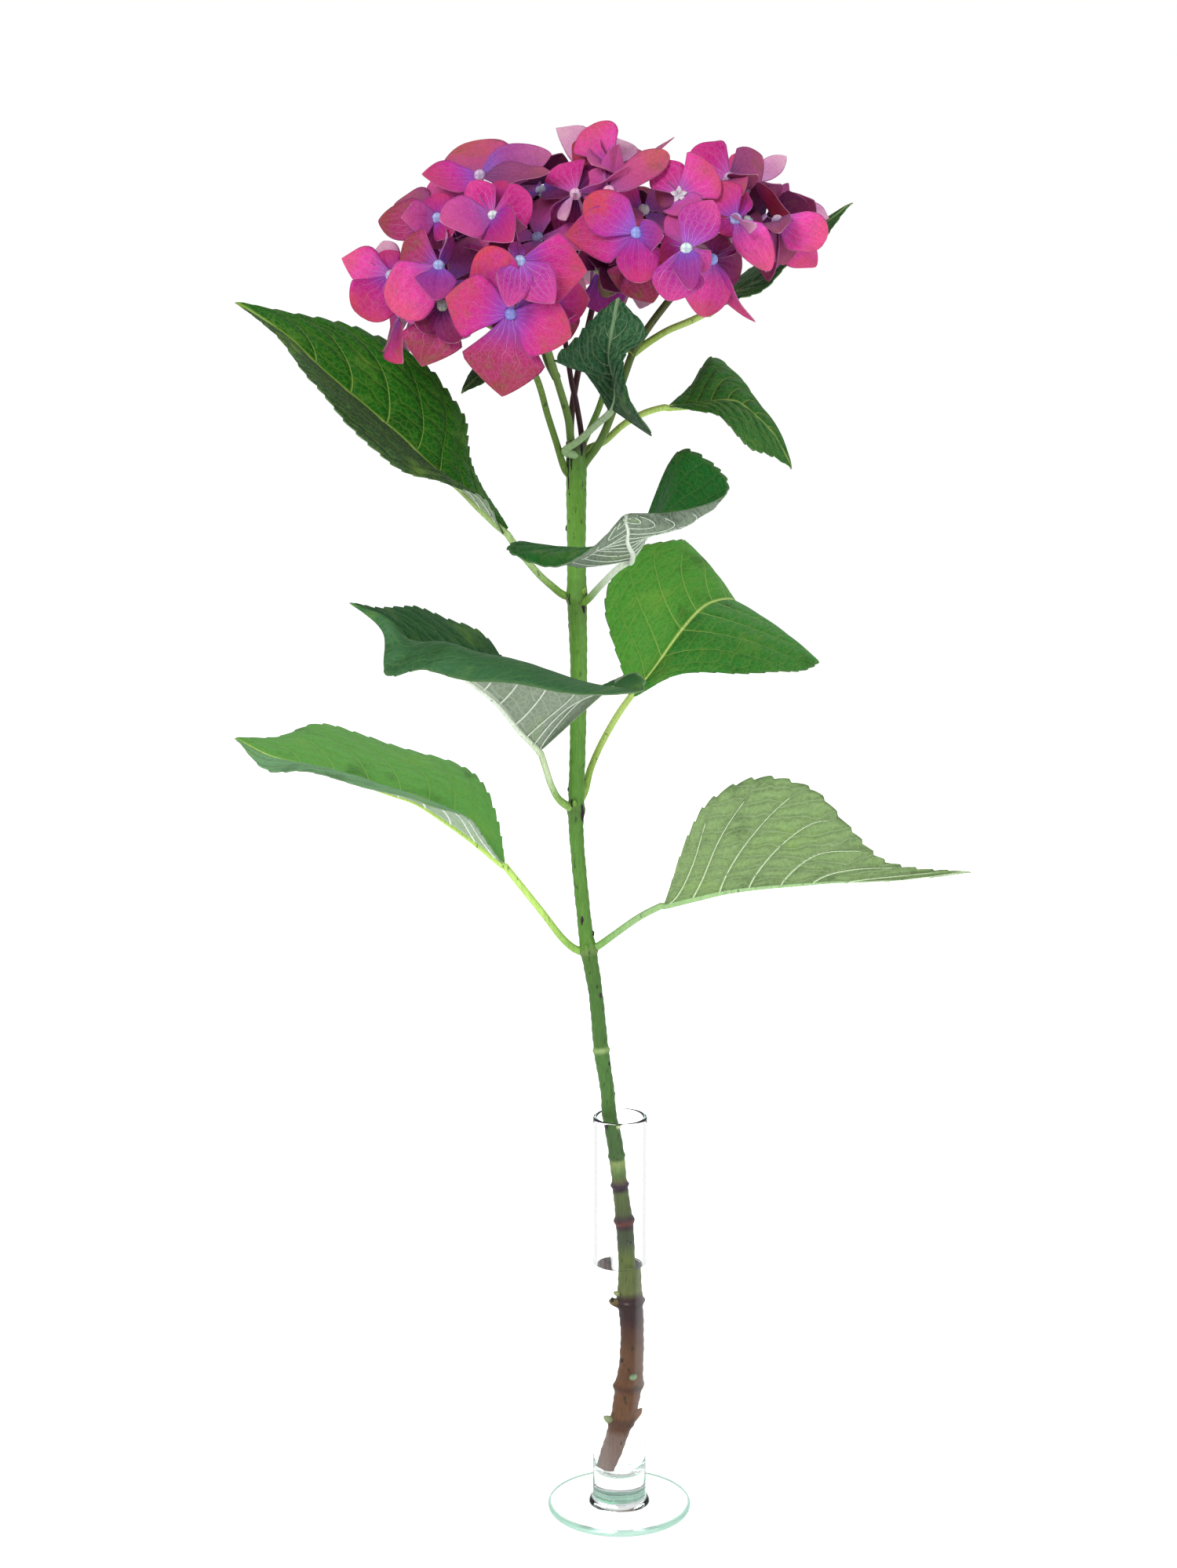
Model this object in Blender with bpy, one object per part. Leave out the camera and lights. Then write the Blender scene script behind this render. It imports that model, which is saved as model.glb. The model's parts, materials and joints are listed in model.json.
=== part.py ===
"""A cut hydrangea standing in a slim glass bud vase that is part filled with water.

Lengths are in millimetres and are turned into metres where a mesh is made. X runs to the right,
Y away from the viewer and Z up, from the middle of the foot's underside.
"""
import math
import random

import bpy
from mathutils import Vector

MM = 0.001
GAP = 0.3

# Vase: a drawn tube with a thick bottom, on a round flat foot that rises a little to meet it.
TUBE_RADIUS = 10.0
BORE_RADIUS = 8.5
RIM_HEIGHT = 155.5
BORE_BOTTOM = 15.0
FOOT_RADIUS = 27.0
FOOT_THICKNESS = 2.6
FOOT_RISE = 3.6
VASE_SIDES = 32

# Water: it reaches the bore but for the gap, and the stem stands in a plain hole in it.
WATER_TOP = 98.0
WATER_SIDES = 16

# Stem: one shoot, its centre line and the radius at each point of it.
STEM_LINE = (
    ((-4, 0, 16.2), 2.6),
    ((-2, 0, 24), 2.9),
    ((0, 0, 33), 3.1),
    ((1.5, 0, 41), 3.5),
    ((2.6, 0, 50), 3.8),
    ((3.4, 0, 61), 3.4),
    ((3.5, 0, 74), 3.3),
    ((2.8, 0, 85), 3.6),
    ((2.7, 0, 96), 3.1),
    ((1.8, 0, 113), 3.3),
    ((0, 0, 128.5), 2.8),
    ((-1.8, 0, 144.5), 2.9),
    ((-4, 0, 156), 2.7),
    ((-4.8, 0, 166), 2.6),
    ((-7, 0, 181), 2.8),
    ((-9, 0, 202), 2.6),
    ((-11.7, 0, 219), 3.0),
    ((-13.2, 0, 230), 2.6),
    ((-15.8, 0, 258), 2.6),
    ((-16.2, 0, 272), 2.9),
    ((-15.6, 0, 295), 2.9),
    ((-15.2, 0, 323), 3.0),
    ((-15.8, 0, 349), 3.5),
    ((-16, 0, 367), 3.3),
    ((-16, 0, 394), 3.7),
    ((-16, 0, 405), 3.6),
)
STEM_TOP = 394.0
STEM_SIDES = 8
# Raised rings round the stem: height, how far they stand out, how long they are.
STEM_RINGS = ((87, 0.9, 3), (50, 0.7, 4), (115, 0.6, 4), (129, 0.7, 2), (140, 0.5, 2), (181, 0.6, 2),
              (219, 0.7, 4), (272, 0.5, 4), (349, 0.6, 5))
# Broken side shoots and dormant buds: foot on the centre line, tip, thickness at the foot.
STEM_STUBS = (
    ((2.5, 0, 87), (-2.6, -1.2, 89.5), 1.5),
    ((2.8, 0, 53), (4.6, -4.6, 56), 1.3),
    ((1, 0, 38), (-3.4, -1, 42), 1.6),
    ((1, 0, 39), (5.4, -0.5, 44), 1.6),
    ((-3, 0, 150), (0.6, -2.2, 153), 1.1),
    ((-11.7, 0, 215), (-12.6, -3.8, 223), 1.2),
    ((-16.2, 0, 271), (-16.8, -4, 277), 1.2),
    ((-15.8, 0, 347), (-12.6, -3.2, 354), 1.4),
)

# Leaves: the petiole's line, then rows of midrib, left margin and right margin from base to tip,
# as seen from above with the tip ahead.
LEAF_THICKNESS = 0.7
PETIOLE_RADIUS = 1.25
TOOTH = 0.045
LEAVES = {
    "leaf_a": dict(
        petiole=((-16, 0, 351), (-20, -1, 350), (-25, -3, 354), (-30, -5, 359), (-37, -7, 368), (-41, -8, 374)),
        blade=(
            ((-41, -8, 374), (-42, -9, 373), (-40, -7, 375)),
            ((-50, -12, 383), (-48, -20, 387), (-47, 2, 385)),
            ((-57, -13, 390), (-60, -25, 392), (-52, 4, 393)),
            ((-67, -14, 398), (-73, -34, 397), (-54, 6, 404)),
            ((-76, -15, 407), (-85, -38, 405), (-57, 8, 416)),
            ((-90, -15, 419), (-97, -36, 418), (-69, 8, 431)),
            ((-103, -14, 430), (-107, -28, 428), (-91, 6, 444)),
            ((-117, -12, 443), (-118, -17, 441), (-112, 0, 449)),
            ((-134, -8, 454),),
        ),
        puff=(2, 2),
    ),
    "leaf_b": dict(
        petiole=((-14, 3, 399), (-11, 6, 402), (-6, 9, 404), (1, 10, 410), (9, 12, 414), (17, 14, 416)),
        blade=(
            ((17, 14, 416), (17, 15, 416), (17, 13, 416)),
            ((24, 17, 416), (25, 30, 422), (26, 8, 415)),
            ((32, 20, 417), (33, 42, 432), (34, 5, 413)),
            ((41, 23, 417), (42, 44, 425), (41, 4, 406)),
            ((48, 25, 412), (48, 40, 417), (47, 8, 401)),
            ((55, 25, 405), (57, 35, 406), (53, 14, 398)),
            ((62, 22, 393),),
        ),
        puff=(2, 2),
    ),
    "leaf_c": dict(
        petiole=((-16, -2, 400), (-20, -6, 402), (-15, -10, 406), (-9, -16, 412), (-5, -22, 416), (-4, -26, 418)),
        blade=(
            ((-4, -26, 418), (-5, -27, 418), (-3, -26, 418)),
            ((-3, -34, 423), (-9, -41, 426), (10, -46, 411)),
            ((-3, -43, 429), (-16, -54, 436), (3, -53, 423)),
            ((-4, -52, 433), (-23, -62, 438), (0, -60, 433)),
            ((-5, -59, 439), (-16, -62, 445), (1, -66, 440)),
            ((-4, -64, 447), (-11, -62, 451), (8, -69, 447)),
            ((-2, -64, 458),),
        ),
        puff=(1, 2),
    ),
    "leaf_d": dict(
        petiole=((-16, 0, 348), (-13, -3, 348), (-8, -8, 354), (-2, -14, 361), (3, -18, 365)),
        blade=(
            ((3, -18, 365), (4, -18, 365), (2, -18, 365)),
            ((3, -35, 370), (11, -20, 386), (-17, -28, 364)),
            ((2, -52, 374), (20, -27, 405), (-33, -38, 374)),
            ((1, -70, 379), (32, -40, 400), (-39, -50, 372)),
            ((1, -86, 384), (35, -55, 393), (-24, -70, 370)),
            ((0, -98, 389), (17, -84, 390), (-12, -88, 377)),
            ((0, -107, 392),),
        ),
        puff=(-6, -2),
    ),
    "leaf_e": dict(
        petiole=((-16, 0, 273), (-13, 4, 278), (-11, 8, 285), (-7, 15, 293), (-1, 24, 302), (4, 30, 308)),
        blade=(
            ((4, 30, 308), (3, 30, 309), (6, 30, 308)),
            ((12, 34, 317), (0, 30, 319), (22, 30, 316)),
            ((23, 42, 331), (-6, 34, 342), (46, 32, 316)),
            ((32, 55, 338), (3, 45, 359), (65, 42, 315)),
            ((41, 72, 338), (21, 62, 362), (75, 55, 316)),
            ((46, 92, 333), (29, 85, 353), (69, 78, 316)),
            ((50, 112, 321),),
        ),
        puff=(2, 2),
    ),
    "leaf_f": dict(
        petiole=((-16, 0, 271), (-22, -4, 276), (-25, -7, 282), (-27, -10, 289), (-29, -12, 296)),
        blade=(
            ((-29, -12, 296), (-28, -14, 297), (-30, -11, 297)),
            ((-32, -16, 300), (2, -38, 328), (-33, -5, 304)),
            ((-36, -20, 305), (7, -49, 324), (-35, 2, 315)),
            ((-43, -30, 316), (-12, -60, 325), (-40, -8, 326)),
            ((-50, -40, 324), (-34, -70, 330), (-50, -16, 339)),
            ((-58, -48, 331), (-51, -76, 332), (-60, -26, 346)),
            ((-66, -56, 338), (-66, -80, 337), (-70, -36, 351)),
            ((-74, -62, 344), (-79, -82, 335), (-77, -46, 353)),
            ((-82, -67, 351), (-80, -72, 348), (-84, -60, 355)),
            ((-91, -71, 358),),
        ),
        puff=(11, 1),
    ),
    "leaf_g": dict(
        petiole=((-12, 0, 218), (-17, -1, 220), (-22, -2, 225), (-29, -4, 235), (-40, -7, 250), (-42, -8, 253)),
        blade=(
            ((-42, -8, 253), (-43, -9, 254), (-42, -7, 254)),
            ((-53, -11, 263), (-49, -20, 266), (-44, 0, 266)),
            ((-63, -14, 271), (-55, -30, 276), (-49, 8, 279)),
            ((-73, -16, 278), (-68, -38, 282), (-59, 14, 285)),
            ((-84, -17, 282), (-81, -40, 286), (-78, 18, 291)),
            ((-97, -17, 287), (-95, -38, 290), (-97, 20, 296)),
            ((-111, -15, 291), (-111, -32, 292), (-112, 18, 300)),
            ((-125, -12, 294), (-126, -22, 291), (-125, 8, 297)),
            ((-138, -9, 300),),
        ),
        puff=(2, 3),
    ),
    "leaf_h": dict(
        petiole=((-12, 0, 219), (-8, -1, 221), (-2, -3, 226), (7, -5, 233), (16, -6, 238)),
        blade=(
            ((16, -6, 238), (17, -4, 239), (16, -8, 239)),
            ((27, -8, 241), (32, 12, 249), (23, -20, 266)),
            ((38, -10, 244), (45, 22, 257), (31, -26, 281)),
            ((50, -12, 246), (57, 26, 262), (49, -28, 290)),
            ((63, -12, 247), (70, 26, 261), (67, -26, 286)),
            ((76, -12, 248), (83, 20, 255), (82, -20, 269)),
            ((92, -10, 248), (96, 8, 250), (94, -12, 257)),
            ((110, -8, 249), (111, -4, 249), (110, -9, 252)),
            ((126, -8, 251),),
        ),
        puff=(2, -3),
    ),
    "leaf_i": dict(
        petiole=((3, 0, 435), (9, 3, 439), (16, 7, 443), (24, 12, 446), (31, 17, 449)),
        blade=(
            ((31, 17, 449), (30, 19, 449), (31, 15, 449)),
            ((40, 27, 455), (41, 40, 459), (38, 15, 452)),
            ((50, 34, 460), (50, 54, 464), (49, 20, 456)),
            ((60, 38, 468), (60, 56, 472), (60, 24, 465)),
            ((71, 40, 477), (71, 49, 479), (73, 31, 475)),
            ((83, 39, 487),),
        ),
        puff=(1, 1),
    ),
    "leaf_j": dict(
        petiole=((-23, -8, 428), (-26, 4, 432), (-28, 14, 437), (-29, 22, 440)),
        blade=(
            ((-29, 22, 440), (-28, 20, 440), (-30, 24, 440)),
            ((-36, 22, 436), (-34, 11, 433), (-40, 34, 439)),
            ((-44, 19, 432), (-42, 7, 429), (-48, 30, 435)),
            ((-51, 15, 426), (-48, 8, 425), (-54, 21, 428)),
            ((-57, 11, 421),),
        ),
        puff=(1, 1),
    ),
}

# Flower head: the rays that fork from the stem's top, with their radius.
KNUCKLE_TOP = 405.0
RAYS = (
    (((-17, 0, 392), (-20, -2, 395), (-23, -6, 405), (-26, -10, 415), (-30, -16, 429), (-38, -26, 443)), 1.3),
    (((-17, 0, 399), (-18, -2, 406), (-19, -5, 414), (-23, -8, 428), (-30, -12, 451)), 1.5),
    (((-15, 0, 399), (-14, 1, 405), (-16, 3, 418), (-18, 5, 427), (-22, 14, 453)), 1.1),
    (((-15, 0, 399), (-14, 0, 403), (-10, -3, 412), (-7, -6, 420), (-2, -9, 436), (0, -16, 453)), 1.3),
    (((-15, 0, 392), (-13, 0, 397), (-8, 0, 404), (-4, 0, 413), (1, 0, 428), (4, 0, 436), (9, 2, 444),
      (16, 5, 453), (26, 4, 465)), 1.5),
    (((-17, 1, 397), (-18, 7, 409), (-16, 16, 425), (-10, 32, 451)), 1.3),
    (((-22, 14, 453), (-34, 22, 461)), 1.0),
    (((-38, -26, 443), (-56, -18, 451)), 1.0),
    (((-10, 32, 451), (12, 38, 459)), 1.0),
    (((26, 4, 465), (36, -18, 471)), 1.0),
)
RAY_SIDES = 5
FORK_RADIUS = 1.9
# A second flush of branches ends in these forks, and every pedicel grows from the nearest one.
FORKS = ((-38, -26, 443), (-30, -12, 451), (-22, 14, 453), (0, -16, 453), (16, 5, 453), (26, 4, 465),
         (-10, 32, 451), (-34, 22, 461), (-56, -18, 451), (12, 38, 459), (36, -18, 471))

# Florets that face the viewer: the bead's centre, then each sepal's bearing round the bead in
# degrees from the right, reach, width, lean towards the viewer and twist about its own length.
FRONT_FLORETS = (
    ((-37, -72, 453), ((-100, 27, 29, 10, 0), (165, 22, 25, 5, 0), (115, 23, 18, -5, -15),
     (-20, 22, 22, 20, 0), (15, 15, 16, -25, 10))),
    ((-34, -72, 470), ((-105, 18, 12, 40, 0), (-55, 20, 14, 35, 0), (-5, 22, 24, 5, 5),
     (140, 14, 14, -35, 0))),
    ((-43, -58, 484), ((120, 15, 14, -25, -20), (80, 16, 12, -40, 0), (20, 14, 17, 0, 10),
     (-175, 22, 17, 40, 35), (-55, 22, 14, 65, 10))),
    ((-62, -45, 483), ((90, 9, 11, -20, -20), (175, 15, 12, 45, 15), (165, 20, 18, -40, 25),
     (-175, 22, 18, -20, 40), (-40, 14, 12, 55, 0), (-120, 12, 16, -15, 0))),
    ((-61, -58, 468), ((155, 16, 18, -25, 0), (-140, 22, 20, 20, 0), (-95, 14, 14, 45, 0),
     (75, 14, 13, -35, 70))),
    ((-60, -58, 455), ((-150, 12, 14, 30, 0), (-60, 15, 12, 30, 0), (-105, 21, 21, 10, 0),
     (180, 19, 16, -30, 0))),
    ((-78, -38, 464), ((165, 18, 14, -5, 15), (-125, 18, 18, 20, 0), (105, 15, 10, -35, 0),
     (-50, 17, 14, 30, 0), (105, 9, 12, -15, 0))),
    ((-48, -38, 497), ((105, 28, 24, -65, 0), (-175, 20, 15, 20, 40), (20, 25, 14, 5, -20),
     (5, 27, 10, 25, -50), (-165, 19, 13, -10, 30))),
    ((-16, -45, 491), ((115, 13, 17, -35, 0), (25, 17, 12, -25, -30), (-110, 13, 12, 45, 70),
     (-115, 16, 11, -20, 0))),
    ((-4, -28, 500), ((120, 16, 17, -20, 0), (175, 23, 13, 70, 60), (155, 18, 14, -35, 0),
     (70, 21, 14, -60, 0), (145, 31, 12, -45, 0))),
    ((-5, -50, 492), ((35, 24, 12, -15, -35), (45, 40, 10, -50, -80), (70, 26, 10, -50, 20),
     (155, 13, 12, -40, 0))),
    ((18, -52, 491), ((35, 16, 20, -20, 0), (120, 16, 13, -30, 0), (-65, 15, 13, 65, 0),
     (-175, 14, 9, -55, 0))),
    ((4, -68, 479), ((145, 21, 16, -15, 0), (-175, 25, 18, -20, 0), (-85, 17, 14, 20, 0),
     (-15, 14, 10, 55, 20))),
    ((20, -72, 474), ((65, 18, 15, -15, 0), (-105, 18, 17, 15, 0), (-85, 17, 9, 45, 0), (-50, 10, 11, 0, 0),
     (-170, 12, 12, -40, 0), (110, 20, 11, -45, 0))),
    ((29, -56, 470), ((-95, 19, 17, 10, 0), (-60, 25, 10, 5, 55), (-10, 17, 15, -45, 0),
     (60, 13, 12, -50, 0))),
    ((37, -50, 483), ((120, 15, 15, -25, 0), (80, 14, 9, -45, 0), (-55, 21, 13, 20, -20),
     (-10, 17, 8, 70, 60), (-135, 7, 9, 0, 0))),
    ((36, -24, 496), ((35, 14, 15, -15, 0), (140, 21, 16, -40, 0), (-70, 21, 10, 75, 0),
     (0, 15, 9, 55, 60))),
    ((45, 2, 495), ((-50, 25, 12, 40, 70), (30, 19, 9, -40, -30), (-45, 13, 15, -20, 20),
     (125, 16, 14, -50, 0))),
    ((52, -30, 482), ((-25, 18, 15, 15, 0), (-50, 27, 13, -40, 30), (-75, 15, 14, 0, 0),
     (-100, 22, 12, -20, 45), (-70, 17, 10, 75, 0))),
    ((3, -44, 470), ((-70, 17, 17, 20, 0), (-110, 12, 14, 10, 10), (-20, 11, 14, 10, 0),
     (155, 11, 12, -45, 0))),
    ((-8, -34, 466), ((-45, 12, 13, 40, 20), (-80, 16, 17, 0, 0), (130, 11, 13, 35, 20),
     (45, 12, 12, 40, 0))),
    ((-25, -50, 456), ((-80, 17, 21, 60, 0), (0, 15, 17, 25, 0), (-65, 15, 14, -15, 0),
     (140, 11, 12, -30, 0))),
    ((60, 28, 486), ((-15, 17, 9, -20, 20), (20, 19, 15, 70, 30), (135, 8, 14, -15, 0),
     (-75, 13, 15, 35, 0))),
)
# The rest of the dome, filled by a rule: places in a spiral, kept where they lie far enough apart.
# The dome leans, with its right side and the rim there higher than the left.
DOME_CENTRE = (-13, 2, 449)
DOME_RADII = (66, 62, 46)
DOME_TILT = 0.2
DOME_PLACES = 600
DOME_LOWEST = -0.15
DOME_LAYERS = 0.08
RIM_AT_CENTRE = 459
RIM_TILT = 0.27
FRONT_LIMIT = -44
FLORET_SPACING = 24.5
FRONT_SPACING = 17
# Places where a leaf lies close under the dome and no floret grows.
CLEAR_OF = ((40, 30, 453), (47, 43, 459), (50, 35, 455), (60, 40, 463), (70, 40, 471))
LEAF_SPACING = 22
# Drawn for each of them: sepal reach and width, lean and twist in degrees, and how far the floret turns.
DOME_REACH = (19, 22)
DOME_WIDTH = (18, 22)
DOME_LEAN = (-8, 10)
DOME_TWIST = (-8, 8)
DOME_BEARING = (-6, 6)
DOME_NOD = (-0.25, 0.25)
# How much sepals are cupped across and bowed along.
FRONT_CUP = (0.02, 0.2)
DOME_CUP = (0, 0.2)
SEPAL_BOW = (-0.04, 0.08)
SEPAL_THICKNESS = 0.65
SEPAL_LEVELS = (0.03, 0.36, 0.74, 1.0)
# How fast a sepal widens from its root: the front ones lie over each other, the rest lie side by side.
FRONT_CLAW = 0.85
DOME_CLAW = 0.62
NOTCH = 3.2
SUNK = 0.4
BEAD_RADIUS = 2.0
PEDICEL_RADIUS = 0.75
SEED = 11


def clear_scene():
    for obj in list(bpy.data.objects):
        bpy.data.objects.remove(obj, do_unlink=True)


def make_material(name, colour, roughness, alpha=1.0):
    mat = bpy.data.materials.new(name)
    mat.use_nodes = True
    shader = mat.node_tree.nodes["Principled BSDF"]
    shader.inputs["Base Color"].default_value = (*colour, 1.0)
    shader.inputs["Roughness"].default_value = roughness
    shader.inputs["Metallic"].default_value = 0.0
    shader.inputs["Alpha"].default_value = alpha
    return mat


def make_object(name, solid, mat=None):
    """An object from (points in millimetres, faces)."""
    points, faces = solid
    mesh = bpy.data.meshes.new(name)
    mesh.from_pydata([Vector(p) * MM for p in points], [], faces)
    if mat:
        mesh.materials.append(mat)
    obj = bpy.data.objects.new(name, mesh)
    bpy.context.scene.collection.objects.link(obj)
    return obj


def along_curve(points, t):
    """The point at t from 0 to 1 on a smooth curve through evenly counted points."""
    points = [Vector(p) for p in points]
    last = len(points) - 1
    position = min(max(t, 0.0), 1.0) * last
    i = min(int(position), last - 1)
    s = position - i
    before = points[i - 1] if i else points[0] * 2 - points[1]
    after = points[i + 2] if i + 2 <= last else points[last] * 2 - points[last - 1]
    a, b = points[i], points[i + 1]
    return 0.5 * (2 * a + (b - before) * s + (2 * before - 5 * a + 4 * b - after) * s * s
                  + (3 * a - before - 3 * b + after) * s ** 3)


def tube(line, radii, sides):
    """A closed tube round a line of points, as (points, faces)."""
    line = [Vector(p) for p in line]
    points = []
    faces = []
    across = None
    for i, centre in enumerate(line):
        ahead = (line[min(i + 1, len(line) - 1)] - line[max(i - 1, 0)]).normalized()
        if across is None:
            across = ahead.cross(Vector((0, 1, 0.1))).normalized()
        across = (across - ahead * across.dot(ahead)).normalized()
        side = ahead.cross(across)
        for k in range(sides):
            turn = 2 * math.pi * k / sides
            points.append(centre + (across * math.cos(turn) + side * math.sin(turn)) * radii[i])
    for i in range(len(line) - 1):
        for k in range(sides):
            near, far = i * sides, (i + 1) * sides
            n = (k + 1) % sides
            faces.append((near + k, near + n, far + n, far + k))
    faces.append(tuple(reversed(range(sides))))
    faces.append(tuple((len(line) - 1) * sides + k for k in range(sides)))
    return points, faces


def between(first, second):
    """Triangles that join two rows of point numbers, one of which may be a single point."""
    if len(second) == 1:
        return [(first[j], first[j + 1], second[0]) for j in range(len(first) - 1)]
    if len(first) == 1:
        return [(first[0], second[j + 1], second[j]) for j in range(len(second) - 1)]
    found = []
    for j in range(len(first) - 1):
        found.append((first[j], first[j + 1], second[j + 1]))
        found.append((first[j], second[j + 1], second[j]))
    return found


def plate(sheet, upper, thickness):
    """A thin closed solid from the points and triangles of a sheet, alike on both faces."""
    normals = [Vector((0, 0, 0)) for _ in sheet]
    for a, b, c in upper:
        face = (sheet[b] - sheet[a]).cross(sheet[c] - sheet[a])
        for k in (a, b, c):
            normals[k] += face
    normals = [n.normalized() for n in normals]
    points = [p + n * thickness / 2 for p, n in zip(sheet, normals)]
    points += [p - n * thickness / 2 for p, n in zip(sheet, normals)]
    count = len(sheet)
    faces = list(upper) + [(c + count, b + count, a + count) for a, b, c in upper]
    edges = [edge for a, b, c in upper for edge in ((a, b), (b, c), (c, a))]
    inner = set(edges)
    for a, b in edges:
        if (b, a) not in inner:
            faces.append((b, a, a + count))
            faces.append((b, a + count, b + count))
    return points, faces


def blade_solid(rows, thickness):
    """A thin closed solid round rows of points."""
    sheet = [Vector(p) for row in rows for p in row]
    numbers = []
    start = 0
    for row in rows:
        numbers.append(list(range(start, start + len(row))))
        start += len(row)
    upper = [tri for a, b in zip(numbers, numbers[1:]) for tri in between(a, b)]
    return plate(sheet, upper, thickness)


def turned(profile, sides):
    """A closed turned solid from (radius, height) points that start and end on the axis."""
    points = [Vector((0, 0, profile[0][1]))]
    for radius, height in profile[1:-1]:
        for k in range(sides):
            turn = 2 * math.pi * k / sides
            points.append(Vector((radius * math.cos(turn), radius * math.sin(turn), height)))
    points.append(Vector((0, 0, profile[-1][1])))
    faces = []
    rings = len(profile) - 2
    for k in range(sides):
        n = (k + 1) % sides
        faces.append((0, 1 + n, 1 + k))
        for i in range(rings - 1):
            low, high = 1 + i * sides, 1 + (i + 1) * sides
            faces.append((low + k, low + n, high + n, high + k))
        top = 1 + (rings - 1) * sides
        faces.append((top + k, top + n, len(points) - 1))
    return points, faces


def bead(centre, radius):
    """A small round bead of eight faces."""
    ways = ((1, 0, 0), (0, 1, 0), (-1, 0, 0), (0, -1, 0), (0, 0, 1), (0, 0, -1))
    points = [Vector(centre) + Vector(way) * radius for way in ways]
    faces = []
    for k in range(4):
        n = (k + 1) % 4
        faces.append((k, n, 4))
        faces.append((n, k, 5))
    return points, faces


def keep_body(obj):
    """Drops all but the largest body of a mesh, sealed hollows included."""
    mesh = obj.data
    parent = list(range(len(mesh.vertices)))

    def root(k):
        while parent[k] != k:
            parent[k] = parent[parent[k]]
            k = parent[k]
        return k

    for edge in mesh.edges:
        a, b = root(edge.vertices[0]), root(edge.vertices[1])
        parent[a] = b
    volume = {}
    mesh.calc_loop_triangles()
    for tri in mesh.loop_triangles:
        a, b, c = (mesh.vertices[k].co for k in tri.vertices)
        body = root(tri.vertices[0])
        volume[body] = volume.get(body, 0.0) + a.cross(b).dot(c)
    best = max(volume, key=volume.get)
    if len(volume) == 1:
        return
    kept = [v.index for v in mesh.vertices if root(v.index) == best]
    renumbered = {old: new for new, old in enumerate(kept)}
    points = [mesh.vertices[k].co.copy() for k in kept]
    faces = [tuple(renumbered[k] for k in poly.vertices) for poly in mesh.polygons if root(poly.vertices[0]) == best]
    mats = list(mesh.materials)
    fresh = bpy.data.meshes.new(mesh.name)
    fresh.from_pydata(points, [], faces)
    for mat in mats:
        fresh.materials.append(mat)
    obj.data = fresh


def apply_modifiers(obj):
    bpy.context.view_layer.update()
    evaluated = obj.evaluated_get(bpy.context.evaluated_depsgraph_get())
    mesh = bpy.data.meshes.new_from_object(evaluated)
    obj.modifiers.clear()
    obj.data = mesh


def fuse(name, solids, mat, solver="EXACT"):
    """One object from overlapping closed solids."""
    obj = make_object(name, solids[0], mat)
    group = bpy.data.collections.new(name + "_pieces")
    bpy.context.scene.collection.children.link(group)
    for k, solid in enumerate(solids[1:]):
        piece = make_object("%s_piece_%d" % (name, k), solid)
        bpy.context.scene.collection.objects.unlink(piece)
        group.objects.link(piece)
    union = obj.modifiers.new("union", "BOOLEAN")
    union.operation = "UNION"
    union.operand_type = "COLLECTION"
    union.collection = group
    union.solver = solver
    apply_modifiers(obj)
    for piece in list(group.objects):
        bpy.data.objects.remove(piece, do_unlink=True)
    bpy.data.collections.remove(group)
    keep_body(obj)
    return obj


def cut(obj, cutter, solver="EXACT"):
    """Takes a cutter solid out of an object."""
    tool = make_object(obj.name + "_cutter", cutter)
    tool.hide_render = True
    tool.display_type = "WIRE"
    difference = obj.modifiers.new("cut", "BOOLEAN")
    difference.operation = "DIFFERENCE"
    difference.object = tool
    difference.solver = solver
    apply_modifiers(obj)
    bpy.data.objects.remove(tool, do_unlink=True)
    keep_body(obj)


def shade(obj):
    obj.data.shade_smooth()
    obj.data.set_sharp_from_angle(angle=math.radians(40))


def stem_profile(low, high, grow=0.0):
    """The stem's centre line and radii between two heights, with its rings."""
    heights = [p[2] for p, _ in STEM_LINE]
    levels = {low, high}
    levels.update(h for h in heights if low < h < high)
    for ring, _, length in STEM_RINGS:
        levels.update(h for h in (ring - length / 2, ring, ring + length / 2) if low < h < high)
    line = []
    radii = []
    for level in sorted(levels):
        i = max(k for k in range(len(heights) - 1) if heights[k] <= level)
        (a, ra), (b, rb) = STEM_LINE[i], STEM_LINE[i + 1]
        share = (level - heights[i]) / (heights[i + 1] - heights[i])
        line.append(Vector(a).lerp(Vector(b), share))
        radius = ra + (rb - ra) * share + grow
        for ring, height, length in STEM_RINGS:
            radius += height * max(0.0, 1 - abs(level - ring) / (length / 2))
        radii.append(radius)
    return line, radii


def make_stem(mat):
    line, radii = stem_profile(STEM_LINE[0][0][2], STEM_TOP)
    solids = [tube(line, radii, STEM_SIDES)]
    for foot, tip, thick in STEM_STUBS:
        foot, tip = Vector(foot), Vector(tip)
        solids.append(tube((foot, foot.lerp(tip, 0.7), tip), (thick, thick, thick * 0.45), 6))
    return fuse("stem", solids, mat)


def make_vase(mat):
    r, b = TUBE_RADIUS, BORE_RADIUS
    profile = (
        (0, 0), (FOOT_RADIUS - 1, 0), (FOOT_RADIUS, 0.8), (FOOT_RADIUS, 1.8), (FOOT_RADIUS - 0.9, FOOT_THICKNESS),
        (r + 6, FOOT_THICKNESS + 0.9), (r + 1.8, FOOT_THICKNESS + 2.2), (r + 0.4, FOOT_THICKNESS + FOOT_RISE),
        (r, FOOT_THICKNESS + FOOT_RISE + 1.6),
        (r, RIM_HEIGHT - 0.5), (r - 0.5, RIM_HEIGHT), (b + 0.5, RIM_HEIGHT), (b, RIM_HEIGHT - 0.5),
        (b, BORE_BOTTOM + 2.2), (b - 0.9, BORE_BOTTOM + 0.6), (b - 2.4, BORE_BOTTOM), (0, BORE_BOTTOM),
    )
    return make_object("vase", turned(profile, VASE_SIDES), mat)


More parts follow.
